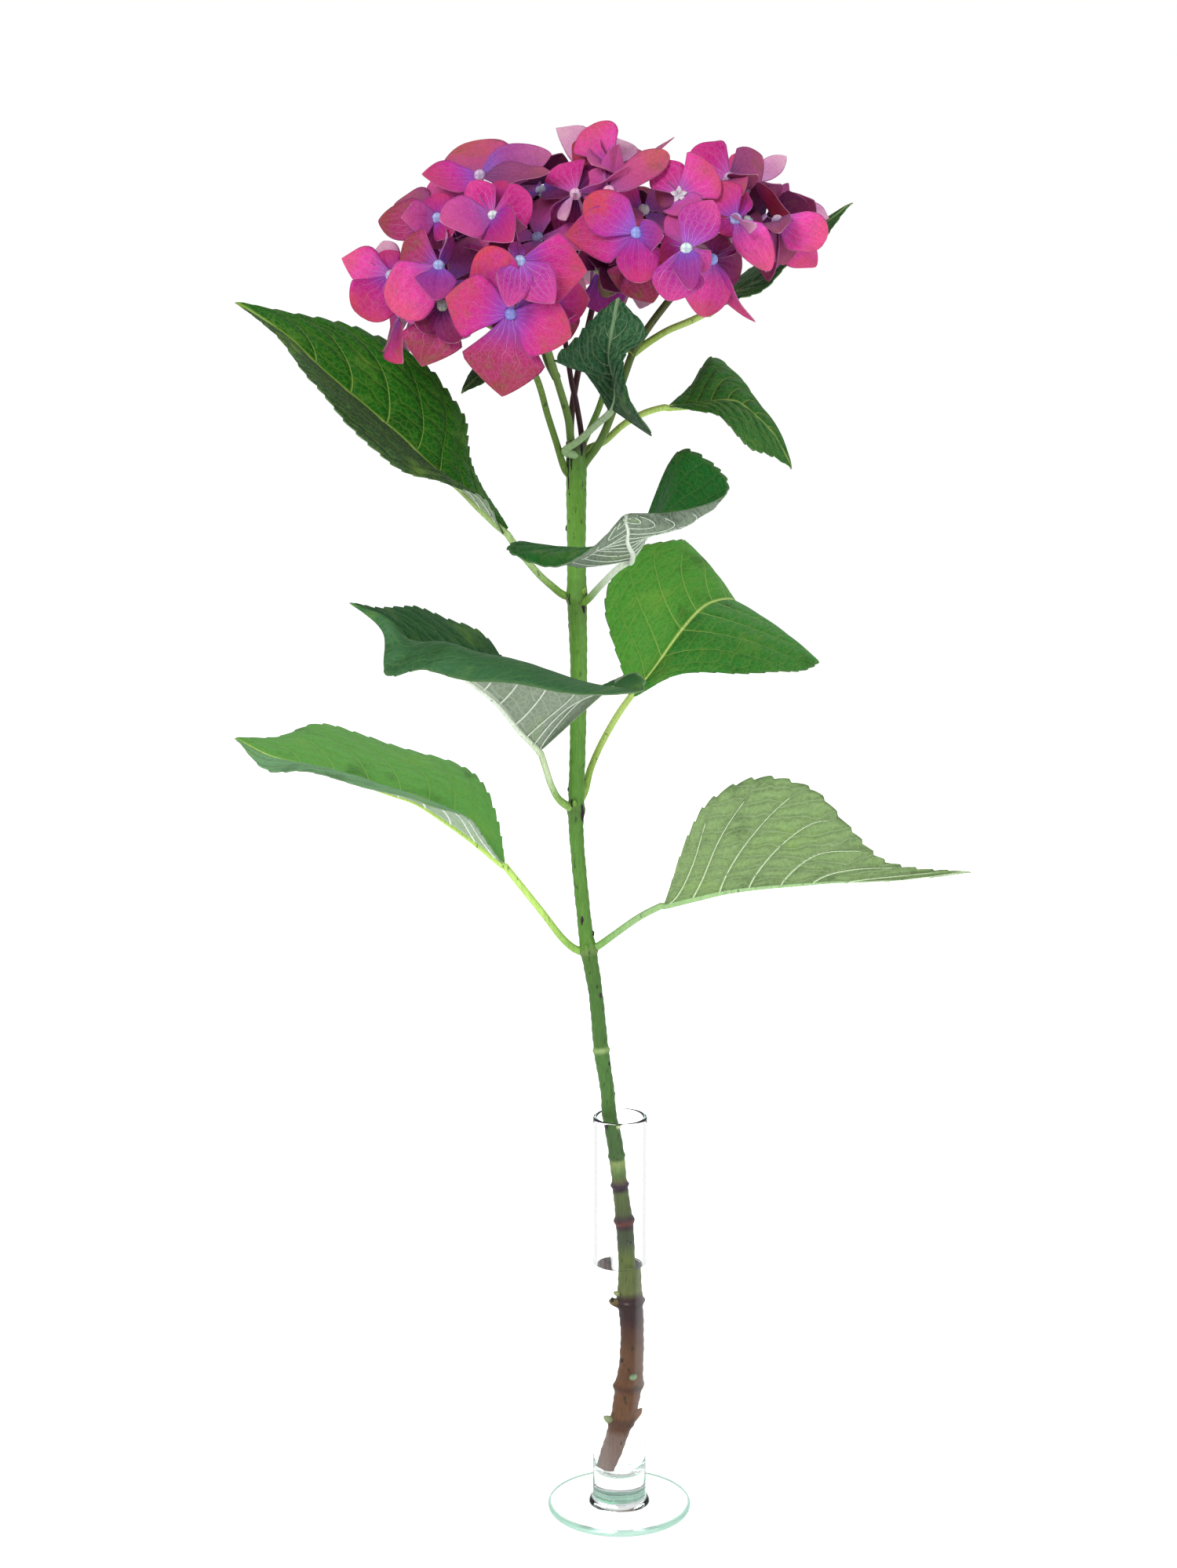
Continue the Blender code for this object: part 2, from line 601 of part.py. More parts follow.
def make_water(mat):
    r = BORE_RADIUS - GAP
    low = BORE_BOTTOM + GAP
    profile = ((0, low), (r - 2.4, low), (r - 0.9, low + 0.6), (r, low + 2.2), (r, WATER_TOP), (0, WATER_TOP))
    obj = make_object("water", turned(profile, WATER_SIDES), mat)
    line, radii = stem_profile(STEM_LINE[0][0][2], WATER_TOP + 10, GAP)
    line = [line[0] - Vector((0.5, 0, 3))] + line
    cut(obj, tube(line, [radii[0]] + radii, STEM_SIDES))
    for foot, tip, thick in STEM_STUBS:
        foot, tip, thick = Vector(foot), Vector(tip), thick + GAP + 0.1
        if foot.z < WATER_TOP:
            tip += (tip - foot).normalized() * (GAP + 0.1)
            cut(obj, tube((foot, foot.lerp(tip, 0.7), tip), (thick, thick, thick * 0.55), 6))
    return obj


def leaf_rows(blade, puff, count):
    """Rows of five points over a leaf: margins, midrib and the middle of each half."""
    tip = Vector(blade[-1][0])
    stations = [tuple(Vector(p) for p in row) for row in blade[:-1]] + [(tip, tip, tip)]
    rows = []
    for i in range(count):
        t = i / (count - 1)
        mid, left, right = (along_curve([s[k] for s in stations], t) for k in range(3))
        if i == count - 1:
            rows.append([tip])
            continue
        step = 0.5 / (count - 1)
        mids = [s[0] for s in stations]
        ahead = (along_curve(mids, t + step) - along_curve(mids, t - step)).normalized()
        over = (right - left).cross(ahead).normalized()
        if 0.1 < t < 0.93 and i % 2:
            left = left.lerp(mid, TOOTH)
            right = right.lerp(mid, TOOTH)
        swell = math.sin(math.pi * t)
        row = [left, left.lerp(mid, 0.5) + over * puff[0] * swell, mid,
               right.lerp(mid, 0.5) + over * puff[1] * swell, right]
        rows.append(row)
    return rows


def make_leaf(name, leaf, mat, cutter):
    stations = len(leaf["blade"])
    blade = blade_solid(leaf_rows(leaf["blade"], leaf["puff"], stations + 4), LEAF_THICKNESS)
    line = [along_curve(leaf["petiole"], k / 4) for k in range(5)]
    line.append(along_curve([row[0] for row in leaf["blade"]], 0.12))
    radii = [PETIOLE_RADIUS * share for share in (1.3, 1.1, 1, 1, 0.95, 0.55)]
    obj = fuse(name, [blade, tube(line, radii, 5)], mat)
    cut(obj, cutter)
    shade(obj)
    return obj


def sepal_rows(eye, frame, sepal, levels, cup, bow, claw):
    """Rows of points over one sepal, from its root to its tip."""
    bearing, reach, width, lean, twist = sepal
    right, up, facing = frame
    bearing, lean, twist = math.radians(bearing), math.radians(lean), math.radians(twist)
    flat = right * math.cos(bearing) + up * math.sin(bearing)
    along = flat * math.cos(lean) + facing * math.sin(lean)
    normal = (facing - along * facing.dot(along)).normalized()
    side = along.cross(normal)
    side, normal = side * math.cos(twist) - normal * math.sin(twist), normal * math.cos(twist) + side * math.sin(twist)
    rows = []
    for u in levels:
        centre = eye + along * reach * u + normal * bow * reach * math.sin(math.pi * u)
        if u in (levels[0], levels[-1]):
            rows.append([centre])
            continue
        half = min(width / 2 * math.sin(math.pi * u ** 0.85) ** 0.75, claw * u * reach + 0.6)
        lift = normal * cup * half
        rows.append([centre + side * half + lift, centre - side * half + lift])
    return rows


def whole_floret(eye, frame, sepals, cup, bow):
    """Evenly spread sepals that meet round the bead, as one thin four-lobed solid."""
    right, up, facing = frame
    sheet = [eye - facing * SUNK]
    upper = []
    count = len(sepals)
    for q, sepal in enumerate(sepals):
        notch = math.radians((sepals[q - 1][0] + sepal[0] + (0 if q else 360)) / 2)
        sheet.append(eye - facing * SUNK + (right * math.cos(notch) + up * math.sin(notch)) * NOTCH)
        rows = sepal_rows(sheet[0], frame, sepal, SEPAL_LEVELS, cup, bow, DOME_CLAW)
        sheet += rows[1] + rows[2] + rows[3]
        first, after = 1 + 6 * q, 1 + 6 * ((q + 1) % count)
        near_right, near_left, far_right, far_left, tip = range(first + 1, first + 6)
        upper += [(0, first, after), (first, near_right, near_left), (first, near_left, after),
                  (near_right, far_right, far_left), (near_right, far_left, near_left), (far_right, tip, far_left)]
    return plate(sheet, upper, SEPAL_THICKNESS)


def outward_frame(facing):
    up = Vector((0, 0, 1))
    if abs(facing.z) > 0.95:
        up = Vector((0, 1, 0))
    right = up.cross(facing).normalized()
    return right, facing.cross(right).normalized(), facing


def all_florets():
    """Every floret as (at the front, bead centre, frame, sepals, cup, bow), the front ones first."""
    draw = random.Random(SEED)
    front = (Vector((1, 0, 0)), Vector((0, 0, 1)), Vector((0, -1, 0)))
    found = []
    for eye, sepals in FRONT_FLORETS:
        found.append((True, Vector(eye), front, sepals, draw.uniform(*FRONT_CUP), draw.uniform(*SEPAL_BOW)))
    centre = Vector(DOME_CENTRE)
    turn = math.pi * (3 - math.sqrt(5))
    for k in range(DOME_PLACES):
        rise = 1 - (1 - DOME_LOWEST) * (k + 0.5) / DOME_PLACES
        ring = math.sqrt(1 - rise * rise)
        unit = Vector((ring * math.cos(turn * k), ring * math.sin(turn * k), rise))
        out = 1 + DOME_LAYERS * (k % 3 - 1)
        eye = centre + Vector([unit[i] * DOME_RADII[i] * out for i in range(3)])
        eye.z += DOME_TILT * (eye.x - centre.x)
        facing = Vector([unit[i] / DOME_RADII[i] for i in range(3)]).normalized()
        nod = Vector([draw.uniform(*DOME_NOD) for _ in range(3)])
        first = draw.uniform(0, 90)
        sepals = []
        for q in range(4):
            sepals.append((first + 90 * q + draw.uniform(*DOME_BEARING), draw.uniform(*DOME_REACH),
                           draw.uniform(*DOME_WIDTH), draw.uniform(*DOME_LEAN), draw.uniform(*DOME_TWIST)))
        cup, bow = draw.uniform(*DOME_CUP), draw.uniform(*SEPAL_BOW)
        rim = RIM_AT_CENTRE + RIM_TILT * (eye.x - centre.x)
        leaf_near = min((eye - Vector(p)).length for p in CLEAR_OF) < LEAF_SPACING
        if leaf_near or eye.y < FRONT_LIMIT or eye.z < rim:
            continue
        if min((eye - f[1]).length - (FRONT_SPACING if f[0] else FLORET_SPACING) for f in found) < 0:
            continue
        found.append((False, eye, outward_frame((facing + nod).normalized()), sepals, cup, bow))
    return found


def make_head(mat):
    """Rays, branches, pedicels and florets, fused in one body."""
    line, radii = stem_profile(STEM_TOP + GAP, KNUCKLE_TOP)
    solids = [tube(line, radii, STEM_SIDES)]
    for ray, radius in RAYS:
        count = len(ray)
        solids.append(tube(ray, [radius * (1 - 0.15 * k / count) for k in range(count)], RAY_SIDES))
    for fork in FORKS:
        solids.append(bead(fork, FORK_RADIUS))
    for at_front, eye, frame, sepals, cup, bow in all_florets():
        fork = Vector(min(FORKS, key=lambda f: (Vector(f) - eye).length))
        behind = eye - frame[2] * 0.5
        bend = fork.lerp(eye, 0.6) - frame[2] * 3
        solids.append(tube((fork, bend, behind), (PEDICEL_RADIUS * 1.2, PEDICEL_RADIUS, PEDICEL_RADIUS), 3))
        solids.append(bead(eye, BEAD_RADIUS))
        if not at_front:
            solids.append(whole_floret(eye, frame, sepals, cup, bow))
            continue
        for q, sepal in enumerate(sepals):
            root = eye - frame[2] * (0.3 + 0.25 * (q % 2))
            rows = sepal_rows(root, frame, sepal, SEPAL_LEVELS, cup, bow, FRONT_CLAW)
            solids.append(blade_solid(rows, SEPAL_THICKNESS))
    obj = fuse("flower_head", solids, mat, "MANIFOLD")
    cut(obj, tube(*stem_profile(STEM_TOP - 12, STEM_TOP + GAP, GAP), STEM_SIDES), "MANIFOLD")
    shade(obj)
    return obj


def build():
    clear_scene()
    glass = make_material("clear_glass", (0.80, 0.92, 0.88), 0.02, 0.25)
    wet = make_material("still_water", (0.85, 0.93, 0.92), 0.02, 0.3)
    bark = make_material("green_stem", (0.16, 0.33, 0.07), 0.55)
    leafy = make_material("green_leaf", (0.06, 0.22, 0.05), 0.5)
    petal = make_material("pink_petal", (0.62, 0.03, 0.22), 0.6)
    shade(make_vase(glass))
    shade(make_water(wet))
    shade(make_stem(bark))
    shoot = tube(*stem_profile(STEM_LINE[0][0][2], KNUCKLE_TOP, GAP), STEM_SIDES)
    for name, leaf in LEAVES.items():
        if name in ("leaf_i", "leaf_j"):
            ray, radius = RAYS[4] if name == "leaf_i" else RAYS[1]
            count = 2 * len(ray) - 1
            points = [along_curve(ray, k / (count - 1)) for k in range(count)]
            holder = tube(points, [radius + 1.5 * GAP] * count, 8)
        else:
            holder = shoot
        make_leaf(name, leaf, leafy, holder)
    make_head(petal)


build()
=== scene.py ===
"""A cut hydrangea in a slim glass bud vase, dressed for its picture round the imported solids.

Lengths are in millimetres until a mesh is made. X runs to the right, Y away from the viewer and
Z up, from the middle of the foot's underside, as in the solids.
"""
import json
import math
import random

import bpy
import numpy as np
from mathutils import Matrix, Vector

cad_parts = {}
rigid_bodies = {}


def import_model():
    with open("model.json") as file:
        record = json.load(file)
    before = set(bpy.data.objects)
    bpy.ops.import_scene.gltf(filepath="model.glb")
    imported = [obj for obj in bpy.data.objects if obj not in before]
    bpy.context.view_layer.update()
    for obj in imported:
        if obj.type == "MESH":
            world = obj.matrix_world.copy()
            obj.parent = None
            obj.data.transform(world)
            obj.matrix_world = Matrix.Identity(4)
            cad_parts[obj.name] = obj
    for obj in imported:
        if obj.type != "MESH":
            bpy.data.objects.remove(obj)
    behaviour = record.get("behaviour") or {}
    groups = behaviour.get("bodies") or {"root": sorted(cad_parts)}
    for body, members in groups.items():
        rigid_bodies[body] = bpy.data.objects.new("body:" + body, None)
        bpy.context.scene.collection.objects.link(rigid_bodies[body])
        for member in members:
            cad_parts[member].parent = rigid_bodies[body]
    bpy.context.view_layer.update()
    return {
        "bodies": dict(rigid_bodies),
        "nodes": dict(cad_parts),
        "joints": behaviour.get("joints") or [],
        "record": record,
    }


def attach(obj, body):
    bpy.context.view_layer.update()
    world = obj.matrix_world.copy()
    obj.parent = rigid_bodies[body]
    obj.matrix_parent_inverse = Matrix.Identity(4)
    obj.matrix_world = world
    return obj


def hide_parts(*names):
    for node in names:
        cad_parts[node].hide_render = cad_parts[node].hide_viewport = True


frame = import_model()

MM = 0.001
SEED = 11

# Vase and water.
TUBE_RADIUS = 10.0
BORE_RADIUS = 8.5
RIM_HEIGHT = 155.5
BORE_BOTTOM = 15.0
FOOT_RADIUS = 27.0
FOOT_THICKNESS = 2.6
FOOT_RISE = 3.6
GROUND_EDGE = 0.9
WATER_TOP = 98.0
# The water's skin lies this far inside the glass, so that light goes straight from one to the other.
INTO_GLASS = 0.03
GLASS_SIDES = 128

# Stem: one shoot, its centre line and the radius at each point of it.
STEM_LINE = (
    ((-4, 0, 16.2), 2.6), ((-2, 0, 24), 2.9), ((0, 0, 33), 3.1), ((1.5, 0, 41), 3.5), ((2.6, 0, 50), 3.8),
    ((3.4, 0, 61), 3.4), ((3.5, 0, 74), 3.3), ((2.8, 0, 85), 3.6), ((2.7, 0, 96), 3.1), ((1.8, 0, 113), 3.3),
    ((0, 0, 128.5), 2.8), ((-1.8, 0, 144.5), 2.9), ((-4, 0, 156), 2.7), ((-4.8, 0, 166), 2.6),
    ((-7, 0, 181), 2.8), ((-9, 0, 202), 2.6), ((-11.7, 0, 219), 3.0), ((-13.2, 0, 230), 2.6),
    ((-15.8, 0, 258), 2.6), ((-16.2, 0, 272), 2.9), ((-15.6, 0, 295), 2.9), ((-15.2, 0, 323), 3.0),
    ((-15.8, 0, 349), 3.5), ((-16, 0, 367), 3.3), ((-16, 0, 394), 3.7), ((-16, 0, 405), 3.6),
)
# Raised rings round the stem: height, how far they stand out, how long they are.
STEM_RINGS = ((35, 0.6, 3), (50, 0.7, 4), (83, 0.8, 3), (115, 0.7, 3), (129, 0.8, 2), (140, 0.5, 2),
              (181, 0.5, 2), (219, 0.7, 4), (272, 0.5, 4), (349, 0.6, 5))
# Broken side shoots and dormant buds: foot, tip, thickness at the foot, colour at the foot and the tip.
STEM_STUBS = (
    ((2.5, 0, 82), (-2.9, -1.2, 84.5), 1.9, "#4a1c22", "#8f7a44"),
    ((2.2, 0, 85), (-1.6, -1.6, 88), 1.2, "#5a2c22", "#c9cf86"),
    ((2.8, 0, 52), (4.7, -4.4, 55.5), 1.5, "#6a4028", "#b4d6a0"),
    ((0.4, 0, 34), (-4.4, -1.4, 38), 1.7, "#6a3c24", "#c3d29a"),
    ((1, 0, 34), (6.4, -0.5, 40.5), 1.8, "#6a3c24", "#a8602c"),
    ((-3, 0, 150), (0.6, -2.2, 153), 1.1, "#5f7d33", "#dfe3b4"),
    ((-11.7, 0, 215), (-12.6, -3.6, 222), 1.1, "#5b7a2c", "#5f8a34"),
    ((-16.2, 0, 271), (-16.8, -3.9, 276), 1.1, "#5b7a2c", "#6f9a3a"),
    ((-15.8, 0, 347), (-12.8, -3.0, 353), 1.3, "#6f8f30", "#8aa848"),
)
# The stem's rind from the cut end up: height and colour.
STEM_COLOURS = (
    (16, "#b09088"), (30, "#a08074"), (33, "#7a4a34"), (36, "#6f4430"), (38, "#92603c"), (47, "#8f5830"),
    (49.5, "#6a3c26"), (51, "#8a5630"), (63, "#86532f"), (72, "#6f3c28"), (77, "#4e2028"), (85, "#4a2028"),
    (86.5, "#6a6038"), (88, "#84904a"), (98, "#7a8a42"), (101, "#74843f"), (107, "#525e40"), (111, "#4e5a3c"),
    (113, "#4a3036"), (114.5, "#7a4036"), (116, "#452c38"), (118, "#5a6438"), (126, "#5f723c"),
    (127.5, "#352036"), (129.5, "#4a3040"), (131, "#6a6a40"), (133, "#5f8040"), (136, "#86a058"),
    (138, "#98ac60"), (139, "#4a7030"), (150, "#4a7032"), (156, "#3f6228"), (161, "#487030"),
    (180, "#4a7434"), (181.5, "#8fa868"), (183, "#48702f"), (203, "#466f2c"), (217, "#4a702a"),
    (219, "#648040"), (222, "#55822e"),
    (265, "#548430"), (272, "#507430"), (277, "#588a30"), (333, "#629438"), (347, "#557d30"),
    (352, "#629638"), (383, "#6aa038"), (393, "#649838"), (399, "#5c8238"), (405, "#4a3c34"),
)
# Dark purple streaks and blots on the rind, and just under the fork a dark strip of painted shadow where the
# rays leave the stem: from, to, half width.
STEM_STREAKS_AND_SHADOW = (
    ((-17.9, -3.0, 408), (-17.6, -3.2, 395), 0.6),
    ((-18.9, -2.1, 404), (-18.7, -2.4, 388), 0.45),
    ((-14.1, -3.1, 406), (-14.0, -3.1, 400), 0.55),
    ((-13.8, -2.9, 349), (-13.2, -2.7, 344), 0.7),
    ((-18.5, -2.8, 351), (-18.4, -2.7, 347), 0.5),
    ((-14.0, -2.4, 274), (-13.8, -2.3, 268), 0.8),
    ((-17.8, -2.6, 276), (-17.7, -2.5, 272), 0.5),
    ((-13.9, -2.3, 233), (-14.1, -2.4, 229), 0.6),
    ((-4.9, -2.2, 153), (-4.8, -2.2, 151), 0.5),
)
STREAK_AND_SHADOW_COLOURS = ("#2c1a2a", "#34202c")
STEM_SIDES = 28
STEM_STEP = 0.5
# The rind is uneven: how high each wave stands and how fast it goes up the stem.
RIND_WAVES = ((0.06, 1.7), (0.05, 0.61))

# Leaves: the petiole's line, then rows of midrib, left margin and right margin from base to tip,
# as seen from above with the tip ahead. Then how far each half bulges, where it differs how many side veins
# a half has, how much the skin swells between them, and how deep the teeth are; the swelling also sets the
# painted shade along the veins. Then the colours: the skin above and beneath, where it differs the left half
# above, the veins above and beneath, and the petiole at the stem, at the blade and where it runs on as the
# midrib. On leaf_a and leaf_g the left half's greyer green above is painted sheen.
LEAVES = {
    "leaf_a": dict(
        petiole=((-16, 0, 351), (-20, -1, 350), (-25, -3, 354),
                 (-30, -5, 359), (-37, -7, 368), (-41, -8, 374)),
        blade=(
            ((-41, -8, 374), (-42, -9, 373), (-40, -7, 375)),
            ((-50, -12, 383), (-48, -20, 387), (-47, 2, 385)),
            ((-57, -13, 390), (-60, -25, 392), (-52, 4, 393)),
            ((-67, -14, 398), (-73, -34, 397), (-54, 6, 404)),
            ((-76, -15, 407), (-85, -38, 405), (-57, 8, 416)),
            ((-90, -15, 419), (-97, -36, 418), (-69, 8, 431)),
            ((-103, -14, 430), (-107, -28, 428), (-91, 6, 444)),
            ((-117, -12, 443), (-118, -17, 441), (-112, 0, 449)),
            ((-134, -8, 454),),
        ),
        puff=(2, 2),
        quilt=0.8,
        teeth=1.5,
        skin=("#246a18", "#a9bda2"),
        # Painted sheen: the left half's greyer green.
        left="#3c5a38",
        veins=("#9cc24e", "#dfe8d4"),
        stalk=("#6f9a3a", "#a9c880", "#a9c070"),
    ),
    "leaf_b": dict(
        petiole=((-14, 3, 399), (-11, 6, 402), (-6, 9, 404), (1, 10, 410), (9, 12, 414), (17, 14, 416)),
        blade=(
            ((17, 14, 416), (17, 15, 416), (17, 13, 416)),
            ((24, 17, 416), (25, 30, 422), (26, 8, 415)),
            ((32, 20, 417), (33, 42, 432), (34, 5, 413)),
            ((41, 23, 417), (42, 44, 425), (41, 4, 406)),
            ((48, 25, 412), (48, 40, 417), (47, 8, 401)),
            ((55, 25, 405), (57, 35, 406), (53, 14, 398)),
            ((62, 22, 393),),
        ),
        puff=(2, 2),
        quilt=0.8,
        teeth=1.3,
        skin=("#3a7a33", "#8fae84"),
        veins=("#a9c860", "#cfdcc0"),
        stalk=("#86a848", "#b5d46a", "#a9c860"),
    ),
    "leaf_c": dict(
        petiole=((-16, -2, 400), (-20, -6, 402), (-15, -10, 406),
                 (-9, -16, 412), (-5, -22, 416), (-4, -26, 418)),
        blade=(
            ((-4, -26, 418), (-5, -27, 418), (-3, -26, 418)),
            ((-3, -34, 423), (-9, -41, 426), (10, -46, 411)),
            ((-3, -43, 429), (-16, -54, 436), (3, -53, 423)),
            ((-4, -52, 433), (-23, -62, 438), (0, -60, 433)),
            ((-5, -59, 439), (-16, -62, 445), (1, -66, 440)),
            ((-4, -64, 447), (-11, -62, 451), (8, -69, 447)),
            ((-2, -64, 458),),
        ),
        puff=(1, 2),
        quilt=0.8,
        teeth=1.3,
        skin=("#2d5a38", "#6f9070"),
        veins=("#9ab58a", "#c4d4b8"),
        stalk=("#9fbf86", "#b4cca2", "#64885f"),
    ),
    "leaf_d": dict(
        petiole=((-16, 0, 348), (-13, -3, 348), (-8, -8, 354), (-2, -14, 361), (3, -18, 365)),
        blade=(
            ((3, -18, 365), (4, -18, 365), (2, -18, 365)),
            ((3, -35, 370), (11, -20, 386), (-17, -28, 364)),
            ((2, -52, 374), (20, -27, 405), (-33, -38, 374)),
            ((1, -70, 379), (32, -40, 400), (-39, -50, 372)),
            ((1, -86, 384), (35, -55, 393), (-24, -70, 370)),
            ((0, -98, 389), (17, -84, 390), (-12, -88, 377)),
            ((0, -107, 392),),
        ),
        puff=(-6, -2),
        side_veins=11,
        quilt=0.6,
        teeth=1.2,
        skin=("#226a2a", "#7d8e78"),
        veins=("#6f9c4c", "#ccd8c6"),
        stalk=("#6f9a3a", "#d3dfc8", "#dfe8d8"),
    ),
    "leaf_e": dict(
        petiole=((-16, 0, 273), (-13, 4, 278), (-11, 8, 285), (-7, 15, 293), (-1, 24, 302), (4, 30, 308)),
        blade=(
            ((4, 30, 308), (3, 30, 309), (6, 30, 308)),
            ((12, 34, 317), (0, 30, 319), (22, 30, 316)),
            ((23, 42, 331), (-6, 34, 342), (46, 32, 316)),
            ((32, 55, 338), (3, 45, 359), (65, 42, 315)),
            ((41, 72, 338), (21, 62, 362), (75, 55, 316)),
            ((46, 92, 333), (29, 85, 353), (69, 78, 316)),
            ((50, 112, 321),),
        ),
        puff=(2, 2),
        quilt=0.4,
        teeth=0.7,
        skin=("#429038", "#8fae84"),
        left="#56a23a",
        veins=("#b8d76a", "#cfdcc0"),
        stalk=("#9cc050", "#c4e07a", "#c4e07a"),
    ),
    "leaf_f": dict(
        petiole=((-16, 0, 271), (-22, -4, 276), (-25, -7, 282), (-27, -10, 289), (-29, -12, 296)),
        blade=(
            ((-29, -12, 296), (-28, -14, 297), (-30, -11, 297)),
            ((-32, -16, 300), (2, -38, 328), (-33, -5, 304)),
            ((-36, -20, 305), (7, -49, 324), (-35, 2, 315)),
            ((-43, -30, 316), (-12, -60, 325), (-40, -8, 326)),
            ((-50, -40, 324), (-34, -70, 330), (-50, -16, 339)),
            ((-58, -48, 331), (-51, -76, 332), (-60, -26, 346)),
            ((-66, -56, 338), (-66, -80, 337), (-70, -36, 351)),
            ((-74, -62, 344), (-79, -82, 335), (-77, -46, 353)),
            ((-82, -67, 351), (-80, -72, 348), (-84, -60, 355)),
            ((-91, -71, 358),),
        ),
        puff=(11, 1),
        side_veins=12,
        quilt=0.2,
        teeth=1.2,
        skin=("#1b5424", "#8e9d86"),
        left="#3f6e44",
        veins=("#6f9a58", "#d8e0d0"),
        stalk=("#7fa650", "#c0d2a6", "#d8e2ce"),
    ),
    "leaf_g": dict(
        petiole=((-12, 0, 218), (-17, -1, 220), (-22, -2, 225),
                 (-29, -4, 235), (-40, -7, 250), (-42, -8, 253)),
        blade=(
            ((-42, -8, 253), (-43, -9, 254), (-42, -7, 254)),
            ((-53, -11, 263), (-49, -20, 266), (-44, 0, 266)),
            ((-63, -14, 271), (-55, -30, 276), (-49, 8, 279)),
            ((-73, -16, 278), (-68, -38, 282), (-59, 14, 285)),
            ((-84, -17, 282), (-81, -40, 286), (-78, 18, 291)),
            ((-97, -17, 287), (-95, -38, 290), (-97, 20, 296)),
            ((-111, -15, 291), (-111, -32, 292), (-112, 18, 300)),
            ((-125, -12, 294), (-126, -22, 291), (-125, 8, 297)),
            ((-138, -9, 300),),
        ),
        puff=(2, 3),
        quilt=0.45,
        teeth=1.3,
        skin=("#6aaa52", "#a2b89c"),
        # Painted sheen: the left half's greyer green.
        left="#78a87a",
        veins=("#92c25c", "#e8efe6"),
        stalk=("#86b04c", "#b5d86a", "#b5d86a"),
    ),
    "leaf_h": dict(
        petiole=((-12, 0, 219), (-8, -1, 221), (-2, -3, 226), (7, -5, 233), (16, -6, 238)),
        blade=(
            ((16, -6, 238), (17, -4, 239), (16, -8, 239)),
            ((27, -8, 241), (32, 12, 249), (23, -20, 266)),
            ((38, -10, 244), (45, 22, 257), (31, -26, 281)),
            ((50, -12, 246), (57, 26, 262), (49, -28, 290)),
            ((63, -12, 247), (70, 26, 261), (67, -26, 286)),
            ((76, -12, 248), (83, 20, 255), (82, -20, 269)),
            ((92, -10, 248), (96, 8, 250), (94, -12, 257)),
            ((110, -8, 249), (111, -4, 249), (110, -9, 252)),
            ((126, -8, 251),),
        ),
        puff=(2, -3),
        quilt=1.0,
        teeth=1.5,
        skin=("#4f9a38", "#86a268"),
        veins=("#a3bf7e", "#bdd2a6"),
        stalk=("#7aa656", "#8fb474", "#98bc80"),
    ),
    "leaf_i": dict(
        petiole=((3, 0, 435), (9, 3, 439), (16, 7, 443), (24, 12, 446), (31, 17, 449)),
        blade=(
            ((31, 17, 449), (30, 19, 449), (31, 15, 449)),
            ((40, 27, 455), (41, 40, 459), (38, 15, 452)),
            ((50, 34, 460), (50, 54, 464), (49, 20, 456)),
            ((60, 38, 468), (60, 56, 472), (60, 24, 465)),
            ((71, 40, 477), (71, 49, 479), (73, 31, 475)),
            ((83, 39, 487),),
        ),
        puff=(1, 1),
        quilt=0.5,
        teeth=1.2,
        skin=("#2b5c2a", "#6f9068"),
        veins=("#8fae62", "#b4c89c"),
        stalk=("#8fae44", "#a9c260", "#8fae62"),
    ),
    "leaf_j": dict(
        petiole=((-23, -8, 428), (-26, 4, 432), (-28, 14, 437), (-29, 22, 440)),
        blade=(
            ((-29, 22, 440), (-28, 20, 440), (-30, 24, 440)),
            ((-36, 22, 436), (-34, 11, 433), (-40, 34, 439)),
            ((-44, 19, 432), (-42, 7, 429), (-48, 30, 435)),
            ((-51, 15, 426), (-48, 8, 425), (-54, 21, 428)),
            ((-57, 11, 421),),
        ),
        puff=(1, 1),
        quilt=0.5,
        teeth=1.2,
        skin=("#2b5230", "#6f9068"),
        veins=("#8fae62", "#b4c89c"),
        stalk=("#5f7f34", "#7da04a", "#8fae62"),
    ),
}
LEAF_THICKNESS = 0.45
LEAF_ROWS_PER_MM = 1.5
LEAF_COLUMNS = 24
PETIOLE_RADIUS = 1.25
# Side veins leave the midrib on each side this many times unless its leaf says otherwise, and swing this
# far ahead at the margin.
SIDE_VEINS = 9
VEIN_SWING = 0.27
# The midrib and the side ribs stand out beneath: spots in a line, how far out they run and the radius.
MIDRIB_SPOTS = 30
MIDRIB_END = 0.97
SIDE_RIB_SPOTS = 14
SIDE_RIB_END = 0.86
SIDE_RIB_RADIUS = 0.3

